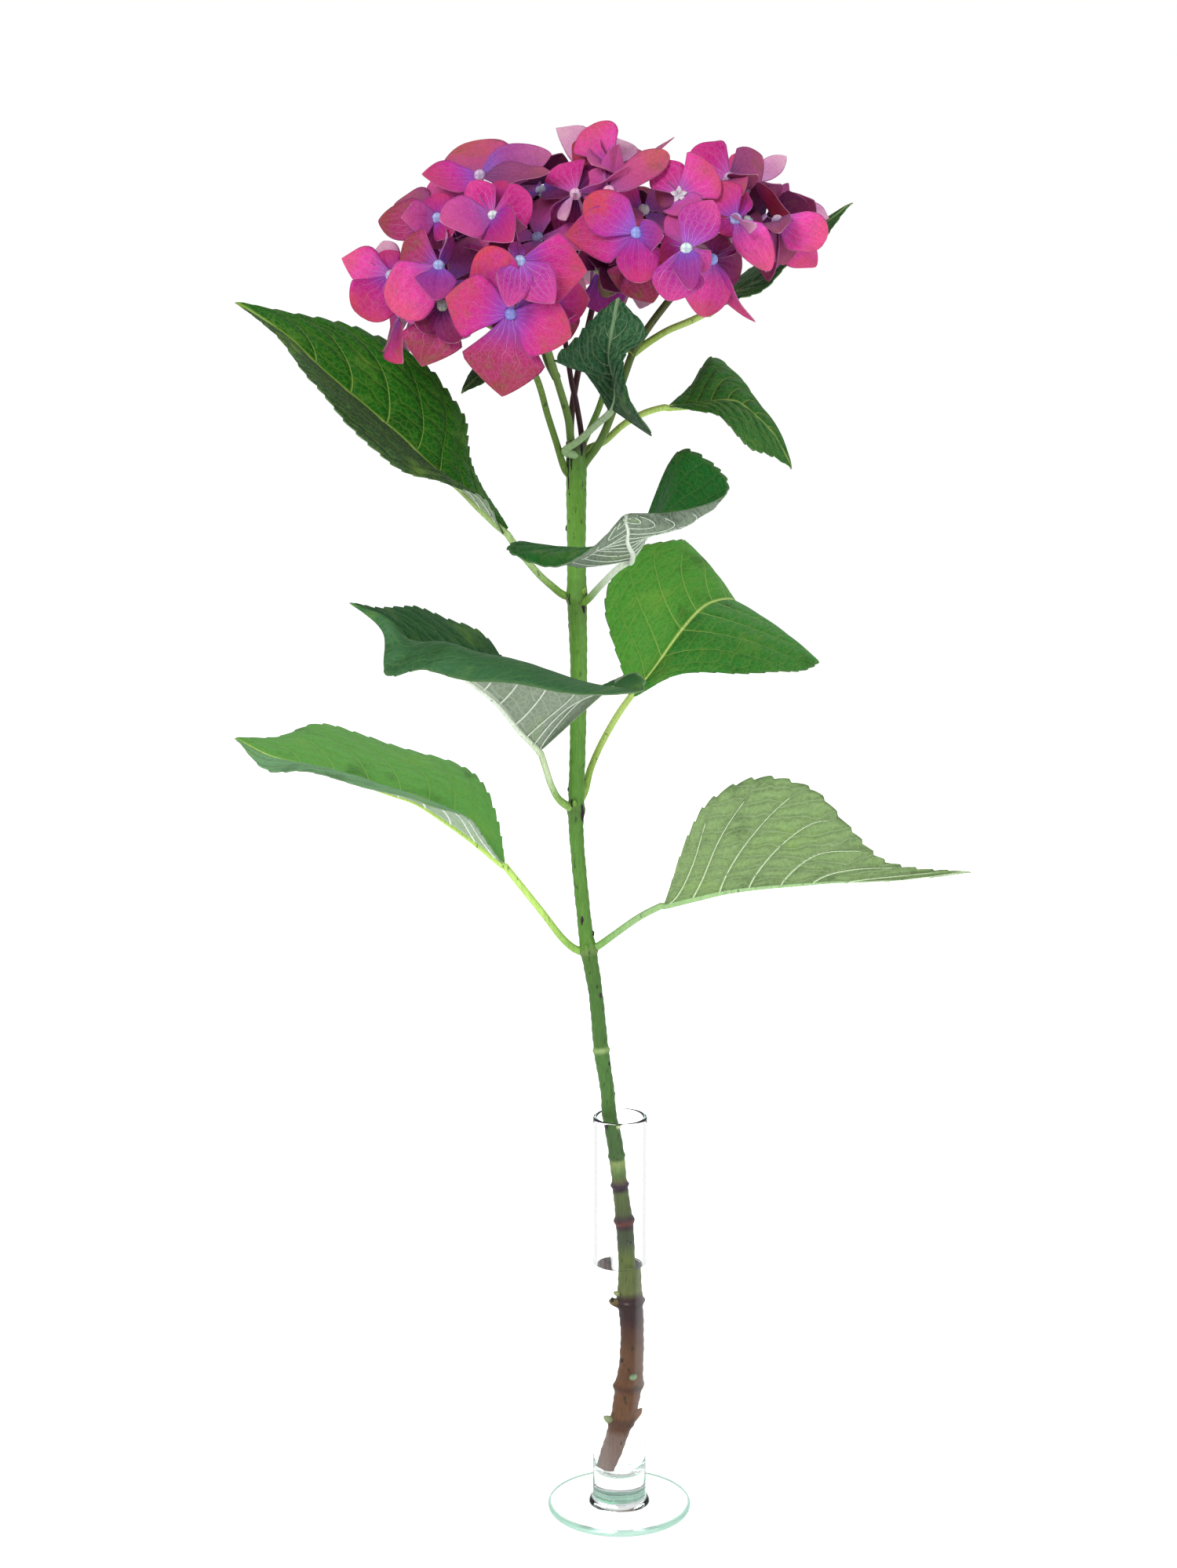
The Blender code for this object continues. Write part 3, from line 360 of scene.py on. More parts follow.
# Flower head: the rays that fork from the stem's top, with radius and the colour at foot and end.
RAYS = (
    (((-17, 0, 392), (-20, -2, 395), (-23, -6, 405), (-26, -10, 415), (-30, -16, 429), (-38, -26, 443)), 1.3,
     "#5f7f34", "#7da04a"),
    (((-17, 0, 399), (-18, -2, 406), (-19, -5, 414), (-23, -8, 428), (-30, -12, 451)), 1.5,
     "#5a7a34", "#7d9f4e"),
    (((-15, 0, 399), (-14, 1, 405), (-16, 3, 418), (-18, 5, 427), (-22, 14, 453)), 1.1,
     "#472834", "#4d2a30"),
    (((-15, 0, 399), (-14, 0, 403), (-10, -3, 412), (-7, -6, 420), (-2, -9, 436), (0, -16, 453)), 1.3,
     "#5f8436", "#6c9040"),
    (((-15, 0, 392), (-13, 0, 397), (-8, 0, 404), (-4, 0, 413), (1, 0, 428), (4, 0, 436), (9, 2, 444),
      (16, 5, 453), (26, 4, 465)), 1.5, "#6b9340", "#45401f"),
    (((-17, 1, 397), (-18, 7, 409), (-16, 16, 425), (-10, 32, 451)), 1.3, "#4c3a30", "#4d2a30"),
    (((-22, 14, 453), (-34, 22, 461)), 1.0, "#4d2a30", "#6b3a4c"),
    (((-38, -26, 443), (-56, -18, 451)), 1.0, "#7da04a", "#8b5a5c"),
    (((-10, 32, 451), (12, 38, 459)), 1.0, "#4d2a30", "#6b3a4c"),
    (((26, 4, 465), (36, -18, 471)), 1.0, "#45401f", "#6b3a4c"),
)
# Where the pedicels leave the rays.
FORKS = ((-38, -26, 443), (-30, -12, 451), (-22, 14, 453), (0, -16, 453), (16, 5, 453), (26, 4, 465),
         (-10, 32, 451), (-34, 22, 461), (-56, -18, 451), (12, 38, 459), (36, -18, 471))
PEDICEL_RADIUS = 0.75
PEDICEL_COLOURS = ("#6b4a4c", "#a86a90", "#b48ab8")

# Right, up and outward for a floret that faces the viewer.
FRONT_FRAME = (Vector((1, 0, 0)), Vector((0, 0, 1)), Vector((0, -1, 0)))
# Florets that face the viewer: the bead's centre, its colour, then each sepal's bearing round the bead
# in degrees from the right, reach, width, lean towards the viewer, twist and dye.
FRONT_FLORETS = (
    ((-37, -72, 453), "#7f86cc", ((-100, 27, 29, 10, 0, "ember point"), (165, 22, 25, 5, 0, "coral point"),
     (115, 23, 18, -5, -15, "sunset square"), (-20, 22, 22, 20, 0, "coral"),
     (15, 15, 16, -25, 10, "violet"))),
    ((-34, -72, 470), "#a9b6dc", ((-105, 18, 12, 40, 0, "veined"), (-55, 20, 14, 35, 0, "veined"),
     (-5, 22, 24, 5, 5, "coral point"), (140, 14, 14, -35, 0, "wine"), (110, 7, 7, -15, 30, "violet"))),
    ((-43, -58, 484), "#dfe8e0", ((120, 15, 14, -25, -20, "bright"), (80, 16, 12, -40, 0, "magenta"),
     (20, 14, 17, 0, 10, "bright round"), (-175, 22, 17, 40, 35, "pink"), (-55, 22, 14, 65, 10, "magenta"),
     (-25, 13, 7, 25, 40, "mauve"))),
    ((-62, -45, 483), "#a9b8e4", ((90, 9, 11, -20, -20, "magenta round"),
     (175, 15, 12, 45, 15, "pink point"), (165, 20, 18, -40, 25, "dusk"), (-175, 22, 18, -20, 40, "ember"),
     (-40, 14, 12, 55, 0, "magenta"), (-120, 12, 16, -15, 0, "wine"))),
    ((-61, -58, 468), "#a3b2dc", ((155, 16, 18, -25, 0, "ember"), (-140, 22, 20, 20, 0, "glow square"),
     (-95, 14, 14, 45, 0, "violet round"), (75, 14, 13, -35, 70, "violet"))),
    ((-60, -58, 455), "#a8b09a", ((-150, 12, 14, 30, 0, "wine round"), (-60, 15, 12, 30, 0, "wine round"),
     (-105, 21, 21, 10, 0, "ember point"), (180, 19, 16, -30, 0, "pink"))),
    ((-78, -38, 464), "#b9b4c8", ((165, 18, 14, -5, 15, "glow point"), (-125, 18, 18, 20, 0, "coral square"),
     (105, 15, 10, -35, 0, "pale"), (-50, 17, 14, 30, 0, "coral"), (105, 9, 12, -15, 0, "magenta round"))),
    ((-48, -38, 497), "#c9b0c8", ((105, 28, 24, -65, 0, "salmon"), (-175, 20, 15, 20, 40, "rose point"),
     (20, 25, 14, 5, -20, "mauve"), (5, 27, 10, 25, -50, "dusk"), (-165, 19, 13, -10, 30, "pink"))),
    ((-16, -45, 491), "#e3b7cf", ((115, 13, 17, -35, 0, "bright"), (25, 17, 12, -25, -30, "wine"),
     (-110, 13, 12, 45, 70, "pale"), (-115, 16, 11, -20, 0, "wine"), (25, 20, 7, 10, 50, "pink"))),
    ((-4, -28, 500), "#e0a8c8", ((120, 16, 17, -20, 0, "glow square"), (175, 23, 13, 70, 60, "pink"),
     (155, 18, 14, -35, 0, "crimson"), (70, 21, 14, -60, 0, "pale"), (145, 31, 12, -45, 0, "pale point"))),
    ((-5, -50, 492), "#e0a8c8", ((35, 24, 12, -15, -35, "salmon square"), (45, 40, 10, -50, -80, "rose"),
     (70, 26, 10, -50, 20, "pink point"), (155, 13, 12, -40, 0, "pink"))),
    ((18, -52, 491), "#f2f0f4", ((35, 16, 20, -20, 0, "glow round"), (120, 16, 13, -30, 0, "bright"),
     (-65, 15, 13, 65, 0, "pink"), (-175, 14, 9, -55, 0, "dusk round"))),
    ((4, -68, 479), "#8fa0e0", ((145, 21, 16, -15, 0, "sunset round"), (-175, 25, 18, -20, 0, "coral point"),
     (-85, 17, 14, 20, 0, "magenta square"), (-15, 14, 10, 55, 20, "violet"))),
    ((20, -72, 474), "#d3ebe2", ((65, 18, 15, -15, 0, "veined"), (-105, 18, 17, 15, 0, "veined round"),
     (-85, 17, 9, 45, 0, "violet round"), (-50, 10, 11, 0, 0, "veined"), (-170, 12, 12, -40, 0, "magenta"),
     (110, 20, 11, -45, 0, "pink"))),
    ((29, -56, 470), "#8fa0e0", ((-95, 19, 17, 10, 0, "glow round"), (-60, 25, 10, 5, 55, "rose point"),
     (-10, 17, 15, -45, 0, "wine"), (60, 13, 12, -50, 0, "wine"))),
    ((37, -50, 483), "#a9b8e4", ((120, 15, 15, -25, 0, "coral"), (80, 14, 9, -45, 0, "magenta"),
     (-55, 21, 13, 20, -20, "glow round"), (-10, 17, 8, 70, 60, "pale"), (-135, 7, 9, 0, 0, "magenta"))),
    ((36, -24, 496), "#c9b0c8", ((35, 14, 15, -15, 0, "dusk"), (140, 21, 16, -40, 0, "bright round"),
     (-70, 21, 10, 75, 0, "salmon"), (0, 15, 9, 55, 60, "dusk"))),
    ((45, 2, 495), "#c9b0c8", ((-50, 25, 12, 40, 70, "crimson"), (30, 19, 9, -40, -30, "pale"),
     (-45, 13, 15, -20, 20, "dusk"), (125, 16, 14, -50, 0, "rose"))),
    ((52, -30, 482), "#c9b0c8", ((-25, 18, 15, 15, 0, "glow square"), (-50, 27, 13, -40, 30, "rose"),
     (-75, 15, 14, 0, 0, "dusk"), (-100, 22, 12, -20, 45, "wine"), (-70, 17, 10, 75, 0, "dusk"))),
    ((3, -44, 470), "#b7c48c", ((-70, 17, 17, 20, 0, "ember"), (-110, 12, 14, 10, 10, "ember"),
     (-20, 11, 14, 10, 0, "crimson"), (155, 11, 12, -45, 0, "wine"))),
    ((-8, -34, 466), "#b7c48c", ((-45, 12, 13, 40, 20, "papery"), (-80, 16, 17, 0, 0, "violet"),
     (130, 11, 13, 35, 20, "wine"), (45, 12, 12, 40, 0, "wine"))),
    ((-25, -50, 456), "#b7a0b0", ((-80, 17, 21, 60, 0, "coral point"), (0, 15, 17, 25, 0, "rose"),
     (-65, 15, 14, -15, 0, "ember"), (140, 11, 12, -30, 0, "wine"))),
    ((60, 28, 486), "#c9b0c8", ((-15, 17, 9, -20, 20, "pale point"), (20, 19, 15, 70, 30, "wine"),
     (135, 8, 14, -15, 0, "mauve"), (-75, 13, 15, 35, 0, "mauve"))),
)
# The front floret whose bud has opened, counted from nought.
OPENED = 11
# The rest of the dome, filled by the same rule and the same draws as the solids. Places are spread evenly
# over an egg that is tilted up to the right, in three layers, from its top down to a little below its middle.
GOLDEN_TURN = math.pi * (3 - math.sqrt(5))
DOME_CENTRE = (-13, 2, 449)
DOME_RADII = (66, 62, 46)
DOME_TILT = 0.2
DOME_PLACES = 600
DOME_LOWEST = -0.15
DOME_LAYERS = 0.08
# No floret is kept under the rim, in front of the limit, or this near to another floret or to a leaf.
RIM_AT_CENTRE = 459
RIM_TILT = 0.27
FRONT_LIMIT = -44
FLORET_SPACING = 24.5
FRONT_SPACING = 17
CLEAR_OF = ((40, 30, 453), (47, 43, 459), (50, 35, 455), (60, 40, 463), (70, 40, 471))
LEAF_SPACING = 22
# What the dome's sepals and florets are drawn from.
DOME_REACH = (19, 22)
DOME_WIDTH = (18, 22)
DOME_LEAN = (-8, 10)
DOME_TWIST = (-8, 8)
DOME_BEARING = (-6, 6)
DOME_NOD = (-0.25, 0.25)
DOME_CUP = (0, 0.2)
FRONT_CUP = (0.02, 0.2)
SEPAL_BOW = (-0.04, 0.08)
# How fast a sepal widens from its root.
DOME_CLAW = 0.62
FRONT_CLAW = 0.85
# How every sepal differs a little from the next, in the order of the draws.
SEPAL_WHIMS = {
    "curl": (-0.09, 0.06), "ruffle": (0.4, 1.4), "waves": (5, 10), "swerve": (-0.1, 0.1),
    "uneven": (0.03, 0.08), "phase": (0, 6.28), "blunt": (-0.06, 0.06), "belly": (-0.06, 0.06),
}
SEPAL_CUP_WHIM = (-0.05, 0.1)
BEAD_RADIUS = 2.0
SEPAL_THICKNESS = 0.32
# Rows and columns of a sepal's sheet.
FRONT_SHEET = (16, 13)
DOME_SHEET = (12, 9)
INNER_SHEET = (9, 7)
PETAL_SHEET = (7, 5)
PETAL_THICKNESS = 0.2
PETALS = 5

# Dyes of the sepals: colour at the eye, of the field and of the tip, share of olive, strength of the veins.
# The darkest of them is painted shade, the dark wine is partly painted shade, and the glowing pink is partly
# painted light that shines through from behind.
DYES = {
    "magenta": ("#9c40b4", "#b81e8a", "#c83078", 0.15, 0.35),
    "bright": ("#c658b8", "#cc1c8a", "#d83290", 0.0, 0.75),
    "veined": ("#a85cc8", "#b42c9a", "#cc3c90", 0.0, 0.85),
    "violet": ("#8452c4", "#9e359e", "#ac3488", 0.0, 0.35),
    "pink": ("#b868c4", "#d04ea8", "#d85a9c", 0.1, 0.3),
    # Partly the sepals' own bright pink, partly painted light shining through them from behind.
    "glow": ("#b460c4", "#e844aa", "#dc4e80", 0.25, 0.75),
    "pale": ("#d5a2d6", "#dc98c6", "#e6b4cc", 0.0, 0.25),
    "coral": ("#9a48bc", "#cc2c90", "#c84062", 0.4, 0.5),
    "ember": ("#8e48b0", "#b42e74", "#9c3a46", 0.75, 0.6),
    "sunset": ("#9458c8", "#c02a98", "#d04054", 0.3, 0.45),
    "salmon": ("#b85aa0", "#cc4e8c", "#c85a66", 0.5, 0.35),
    "mauve": ("#8f5cbc", "#a84898", "#bc6094", 0.2, 0.3),
    "dusk": ("#84447e", "#9c447c", "#a85070", 0.35, 0.25),
    "crimson": ("#94307a", "#b4245c", "#ae3048", 0.3, 0.35),
    # Dark wine: the sepals' own colour on front florets, and painted shade on the half-open ones inside.
    "wine": ("#561c5c", "#7e1460", "#861e52", 0.25, 0.25),
    "papery": ("#8a5a5e", "#86805a", "#9a9468", 0.4, 0.2),
    "rose": ("#9c4cc0", "#d0309a", "#d44478", 0.15, 0.45),
    # Painted shade: near-black plum for the half-open florets in the gaps.
    "deep": ("#3c1442", "#561044", "#601440", 0.2, 0.1),
    "white": ("#e6e8ee", "#f6f4f8", "#fbfafc", 0.0, 0.0),
}
# Outline of a sepal: how pointed its ends are, and how near the root it is widest.
FORMS = {"": (0.72, 0.9), "round": (0.55, 0.95), "point": (0.95, 0.85), "square": (0.45, 1.15)}
# Dyes that the rule draws from for the rest of the dome.
DOME_DYES = ("magenta", "bright", "pink", "coral", "coral", "rose", "rose", "violet", "mauve", "ember",
             "salmon", "veined", "dusk")
MAIN_DYE_SHARE = 0.6
DOME_BEADS = ("#a9b8e4", "#c9d6e6", "#d7e4da", "#c9b0c8")
# Half-open florets deep in the dome, which stop the eye between the outer ones. Their dark dyes and dim beads
# are painted shade for the gaps.
INNER_SHARE = 0.74
INNER_PLACES = 260
INNER_DOWN_TO = -0.05
INNER_SPACING = 15
INNER_CLEAR = 8
INNER_LOWEST = 455
INNER_BEARING = (-12, 12)
INNER_REACH = (13, 18)
INNER_WIDTH = (12, 16)
INNER_LEAN = (0, 35)
INNER_TWIST = (-15, 15)
# Dark dyes of the half-open florets: painted shade.
INNER_SHADE_DYES = ("deep", "deep", "wine")
INNER_NOD = (-0.3, 0.3)
INNER_CUP = 0.15
# Dim bead of the half-open florets: painted shade.
SHADED_INNER_BEAD = "#6f5a90"
# Three more of them, just behind gaps between the front florets.
INNER_FRONT = ((-56, -25, 475), (-26, -12, 494), (50, 4, 483))

# Camera: where the photographer stood, a metre off and half a metre up, looking 12 degrees down.
CAMERA_PLACE = (-11.7, -1053, 505)
CAMERA_TILT = 12
LENS = 68.38

# The stage: how far the table reaches each way, and how far it is under the foot. Then the soft lamps, in
# metres: place, point aimed at, width, power, colour, and whether shiny things mirror it.
TABLE_REACH = 6000
TABLE_DROP = 0.3
LAMPS = {
    "key_lamp": ((-0.75, -1.15, 1.25), (0, 0, 0.4), 0.7, 17, "#ffffff", True),
    "fill_lamp": ((1.0, -0.9, 0.7), (0, 0, 0.4), 0.9, 5, "#f4f8ff", True),
    "rim_lamp": ((0.5, 1.2, 1.1), (0, 0, 0.42), 0.8, 12, "#ffffff", False),
}

# The nodes that store and read a piece's named marks, and what the points of each kind of piece carry.
STORE = "GeometryNodeStoreNamedAttribute"
READ = "GeometryNodeInputNamedAttribute"
READ_IN_SKIN = "ShaderNodeAttribute"
SEPAL_MARKS = (
    ("FLOAT", "out across reach width claw cup bow curl ruffle waves phase blunt belly swerve uneven"),
    ("FLOAT_VECTOR", "root along side normal"),
)
BEAD_MARKS = (("FLOAT", "thick"), ("FLOAT_VECTOR", "facing"))
LEAF_MARKS = (("FLOAT", "out across span length lane"), ("FLOAT_VECTOR", "over inward"))


def linear(code):
    """An sRGB hex colour as the linear red, green, blue and alpha that a shader takes."""
    shares = [int(code[k:k + 2], 16) / 255 for k in (1, 3, 5)]
    return tuple(c / 12.92 if c <= 0.04045 else ((c + 0.055) / 1.055) ** 2.4 for c in shares) + (1.0,)


def add(tree, kind, inputs=(), **settings):
    """A node with its settings, and its inputs in order or by name: a value, or what feeds it."""
    node = tree.nodes.new(kind)
    for name, value in settings.items():
        setattr(node, name, value)
    sockets = [s for s in node.inputs if s.enabled and not s.is_unavailable]
    pairs = inputs.items() if isinstance(inputs, dict) else zip(range(len(inputs)), inputs)
    for key, value in pairs:
        socket = node.inputs[key] if isinstance(key, str) else sockets[key]
        if isinstance(value, bpy.types.Node):
            value = next(s for s in value.outputs if s.enabled and not s.is_unavailable)
        if isinstance(value, bpy.types.NodeSocket):
            tree.links.new(value, socket)
        else:
            socket.default_value = value
    return node


def new_tree(name, **inputs):
    """An empty Geometry Nodes tree with named inputs, and its input sockets by name."""
    tree = bpy.data.node_groups.new(name, "GeometryNodeTree")
    tree.interface.new_socket("Geometry", in_out="INPUT", socket_type="NodeSocketGeometry")
    for label, value in inputs.items():
        kind = {int: "NodeSocketInt", float: "NodeSocketFloat"}.get(type(value), "NodeSocketMaterial")
        socket = tree.interface.new_socket(label, in_out="INPUT", socket_type=kind)
        if value is not None:
            socket.default_value = value
    tree.interface.new_socket("Geometry", in_out="OUTPUT", socket_type="NodeSocketGeometry")
    return tree, tree.nodes.new("NodeGroupInput").outputs


def new_piece(name, points, edges=(), faces=(), **marks):
    """An object from points in millimetres, with a named mark at every point."""
    mesh = bpy.data.meshes.new(name)
    mesh.from_pydata([Vector(p) * MM for p in points], list(edges), list(faces))
    for mark, values in marks.items():
        values = np.array(values, float)
        width = 1 if values.ndim == 1 else values.shape[1]
        kinds = {1: ("FLOAT", "value"), 3: ("FLOAT_VECTOR", "vector"), 4: ("FLOAT_COLOR", "color")}
        kind, field = kinds[width]
        mesh.attributes.new(mark, kind, "POINT").data.foreach_set(field, values.ravel())
    piece = bpy.data.objects.new(name, mesh)
    bpy.context.scene.collection.objects.link(piece)
    return piece


def settle(piece):
    """Turns a piece with its live modifiers into a plain mesh."""
    bpy.context.view_layer.update()
    graph = bpy.context.evaluated_depsgraph_get()
    seen = piece.evaluated_get(graph)
    mesh = bpy.data.meshes.new_from_object(seen, preserve_all_data_layers=True, depsgraph=graph)
    piece.modifiers.clear()
    piece.data = mesh
    return piece


def grow(piece, tree, **values):
    """Runs a tree on a piece, with values for its named inputs."""
    modifier = piece.modifiers.new(tree.name, "NODES")
    modifier.node_group = tree
    for item in tree.interface.items_tree:
        if item.in_out == "INPUT" and item.name in values:
            modifier[item.identifier] = values[item.name]
    return settle(piece)


def thicken(piece, thickness, back):
    """Gives a sheet its thickness, with another skin behind and round the edge."""
    piece.data.materials.append(back)
    wall = piece.modifiers.new("thickness", "SOLIDIFY")
    wall.thickness = thickness * MM
    wall.offset = 0.0
    wall.material_offset = 1
    wall.material_offset_rim = 1
    return settle(piece)


def along_curve(points, t):
    """The point at t from 0 to 1 on a smooth curve through evenly counted points."""
    points = [Vector(p) for p in points]
    last = len(points) - 1
    position = min(max(t, 0.0), 1.0) * last
    i = min(int(position), last - 1)
    s = position - i
    before = points[i - 1] if i else points[0] * 2 - points[1]
    after = points[i + 2] if i + 2 <= last else points[last] * 2 - points[last - 1]
    a, b = points[i], points[i + 1]
    return 0.5 * (2 * a + (b - before) * s + (2 * before - 5 * a + 4 * b - after) * s * s
                  + (3 * a - before - 3 * b + after) * s ** 3)


def follow(tree, known, *steps):
    """Adds nodes step by step: the result's name, the node with its choice, then values or known names.

    A choice alone is a Math node's.
    """
    choices = {"Mix": "data_type", "MapRange": "interpolation_type", "TexVoronoi": "feature"}
    for name, what, *values in steps:
        kind, _, choice = ("Math " + what if what.isupper() else what).partition(" ")
        settings = {choices.get(kind, "operation"): choice} if choice else {}
        values = [known.get(value, value) if isinstance(value, str) else value for value in values]
        known[name] = add(tree, "ShaderNode" + kind, values, **settings)
    return known


def close_tree(tree, geometry, rind):
    """Ends a tree: instances made real, smooth, and in their material."""
    plain = add(tree, "GeometryNodeRealizeInstances", [geometry])
    smooth = add(tree, "GeometryNodeSetShadeSmooth", [plain])
    done = add(tree, "GeometryNodeSetMaterial", {"Geometry": smooth, "Material": rind})
    add(tree, "NodeGroupOutput", [done])
    return tree


def tube_tree():
    """Round shoots: a ring carried along each line of points, as thick as the mark says."""
    tree, given = new_tree("round_shoots", Sides=12, Rind=None)
    thick = add(tree, READ, ["thick"], data_type="FLOAT")
    line = add(tree, "GeometryNodeMeshToCurve", [given["Geometry"]])
    ring = add(tree, "GeometryNodeCurvePrimitiveCircle", [given["Sides"], 1.0])
    shoot = add(tree, "GeometryNodeCurveToMesh", [line, ring, thick, True])
    return close_tree(tree, shoot, given["Rind"])


def sepal_tree():
    """Sepals: a sheet for every point, shaped by the point's marks."""
    tree, given = new_tree("sepals", Rows=14, Columns=11, Skin=None)
    # A flat square sheet whose rows crowd towards the tip.
    sheet = add(tree, "GeometryNodeMeshGrid", [1.0, 1.0, given["Rows"], given["Columns"]])
    spot = add(tree, "ShaderNodeSeparateXYZ", [add(tree, "GeometryNodeInputPosition")])
    know = follow(
        tree, {"x": spot.outputs["X"], "y": spot.outputs["Y"]},
        ("left", "SUBTRACT", 0.5, "x"),
        ("left", "MAXIMUM", "left", 0.0),
        ("left", "POWER", "left", 1.6),
        ("out", "SUBTRACT", 1.0, "left"),
        ("across", "MULTIPLY", "y", -2.0),
    )
    for mark in ("out", "across"):
        sheet = add(tree, STORE, {"Geometry": sheet, "Name": mark, "Value": know[mark]},
                    data_type="FLOAT", domain="POINT")
    placed = add(tree, "GeometryNodeInstanceOnPoints", {"Points": given["Geometry"], "Instance": sheet})
    whole = add(tree, "GeometryNodeRealizeInstances", [placed])
    know = {mark: add(tree, READ, [mark], data_type=kind)
            for kind, marks in SEPAL_MARKS for mark in marks.split()}
    follow(
        tree, know,
        # Half the width: round towards the tip, and held in by the claw at the root.
        ("swell", "POWER", "out", "belly"),
        ("swell", "MULTIPLY", "swell", math.pi),
        ("swell", "SINE", "swell"),
        ("swell", "MAXIMUM", "swell", 0.0),
        ("swell", "POWER", "swell", "blunt"),
        ("round", "MULTIPLY", "swell", "width"),
        ("round", "MULTIPLY", "round", 0.5),
        ("run", "MULTIPLY", "reach", "out"),
        ("held", "MULTIPLY_ADD", "claw", "run", 0.6),
        ("half", "MINIMUM", "round", "held"),
        # Neither side is quite the mirror of the other, and the midrib swings a little.
        ("nick", "MULTIPLY_ADD", "out", 8.0, "phase"),
        ("nick", "MULTIPLY_ADD", "across", 2.2, "nick"),
        ("nick", "SINE", "nick"),
        ("nick", "MULTIPLY_ADD", "nick", "uneven", 1.0),
        ("half", "MULTIPLY", "half", "nick"),
        ("beside", "MULTIPLY", "half", "across"),
        ("swing", "POWER", "out", 2.0),
        ("swing", "MULTIPLY", "swing", "reach"),
        ("swing", "MULTIPLY", "swing", "swerve"),
        ("over_to", "ADD", "beside", "swing"),
        ("edge", "ABSOLUTE", "across"),
        # Height off the flat: bowed along, cupped across, curled at the tip.
        ("arch", "MULTIPLY", "out", math.pi),
        ("arch", "SINE", "arch"),
        ("bowed", "MULTIPLY", "bow", "reach"),
        ("bowed", "MULTIPLY", "bowed", "arch"),
        ("cupped", "POWER", "edge", 1.6),
        ("cupped", "MULTIPLY", "cupped", "half"),
        ("cupped", "MULTIPLY", "cupped", "cup"),
        ("curled", "POWER", "out", 3.0),
        ("curled", "MULTIPLY", "curled", "reach"),
        ("curled", "MULTIPLY", "curled", "curl"),
        # Waves along the edge, and a crease down the middle.
        ("turn", "MULTIPLY_ADD", "waves", "out", "phase"),
        ("turn", "MULTIPLY_ADD", "across", 1.5, "turn"),
        ("wave", "SINE", "turn"),
        ("wave", "MULTIPLY", "wave", "ruffle"),
        ("rim", "POWER", "edge", 2.4),
        ("rim", "MULTIPLY", "rim", "arch"),
        ("wave", "MULTIPLY", "wave", "rim"),
        ("crease", "ABSOLUTE", "beside"),
        ("crease", "MULTIPLY_ADD", "crease", -0.7, 1.0),
        ("crease", "MAXIMUM", "crease", 0.0),
        ("crease", "MULTIPLY", "crease", "arch"),
        ("crease", "MULTIPLY", "crease", -0.35),
        ("lift", "ADD", "bowed", "cupped"),
        ("lift", "ADD", "lift", "curled"),
        ("lift", "ADD", "lift", "wave"),
        ("lift", "ADD", "lift", "crease"),
        ("ahead", "VectorMath SCALE", "along", "run"),
        ("aside", "VectorMath SCALE", "side", "over_to"),
        ("above", "VectorMath SCALE", "normal", "lift"),
        ("place", "VectorMath ADD", "root", "ahead"),
        ("place", "VectorMath ADD", "place", "aside"),
        ("place", "VectorMath ADD", "place", "above"),
        ("place", "VectorMath SCALE", "place", MM),
        ("flat", "CombineXYZ", "beside", "run", "half"),
        ("halfway", "MULTIPLY_ADD", "across", 0.5, 0.5),
        ("sepal", "CombineXYZ", "out", "halfway", 0.0),
    )
    for mark, kind, domain in (("flat", "FLOAT_VECTOR", "POINT"), ("sepal", "FLOAT2", "CORNER")):
        whole = add(tree, STORE, {"Geometry": whole, "Name": mark, "Value": know[mark]},
                    data_type=kind, domain=domain)
    whole = add(tree, "GeometryNodeSetPosition", {"Geometry": whole, "Position": know["place"]})
    whole = add(tree, "GeometryNodeMergeByDistance", {"Geometry": whole, "Distance": 0.004 * MM})
    return close_tree(tree, whole, given["Skin"])


def bead_tree():
    """The buds in the middle of the florets: four creased quarters, turned the way the floret faces."""
    tree, given = new_tree("floret_beads", Segments=16, Rings=10, Skin=None)
    ball = add(tree, "GeometryNodeMeshUVSphere", [given["Segments"], given["Rings"], 1.0])
    place = add(tree, "GeometryNodeInputPosition")
    spot = add(tree, "ShaderNodeSeparateXYZ", [place])
    know = follow(
        tree, {"x": spot.outputs["X"], "y": spot.outputs["Y"], "z": spot.outputs["Z"], "place": place},
        ("cross", "MULTIPLY", "x", "y"),
        ("cross", "ABSOLUTE", "cross"),
        ("cross", "MULTIPLY_ADD", "cross", -7.0, 1.0),
        ("cross", "MAXIMUM", "cross", 0.0),
        ("front", "MAXIMUM", "z", 0.0),
        ("dent", "MULTIPLY", "cross", "front"),
        ("size", "MULTIPLY_ADD", "dent", -0.16, 1.0),
        ("place", "VectorMath SCALE", "place", "size"),
    )
    ball = add(tree, STORE, {"Geometry": ball, "Name": "dent", "Value": know["dent"]},
               data_type="FLOAT", domain="POINT")
    ball = add(tree, "GeometryNodeSetPosition", {"Geometry": ball, "Position": know["place"]})
    know = {mark: add(tree, READ, [mark], data_type=kind)
            for kind, marks in BEAD_MARKS for mark in marks.split()}
    turned_to = add(tree, "FunctionNodeAlignRotationToVector", {"Vector": know["facing"]}, axis="Z")
    placed = add(tree, "GeometryNodeInstanceOnPoints",
                 {"Points": given["Geometry"], "Instance": ball, "Rotation": turned_to,
                  "Scale": know["thick"]})
    return close_tree(tree, placed, given["Skin"])


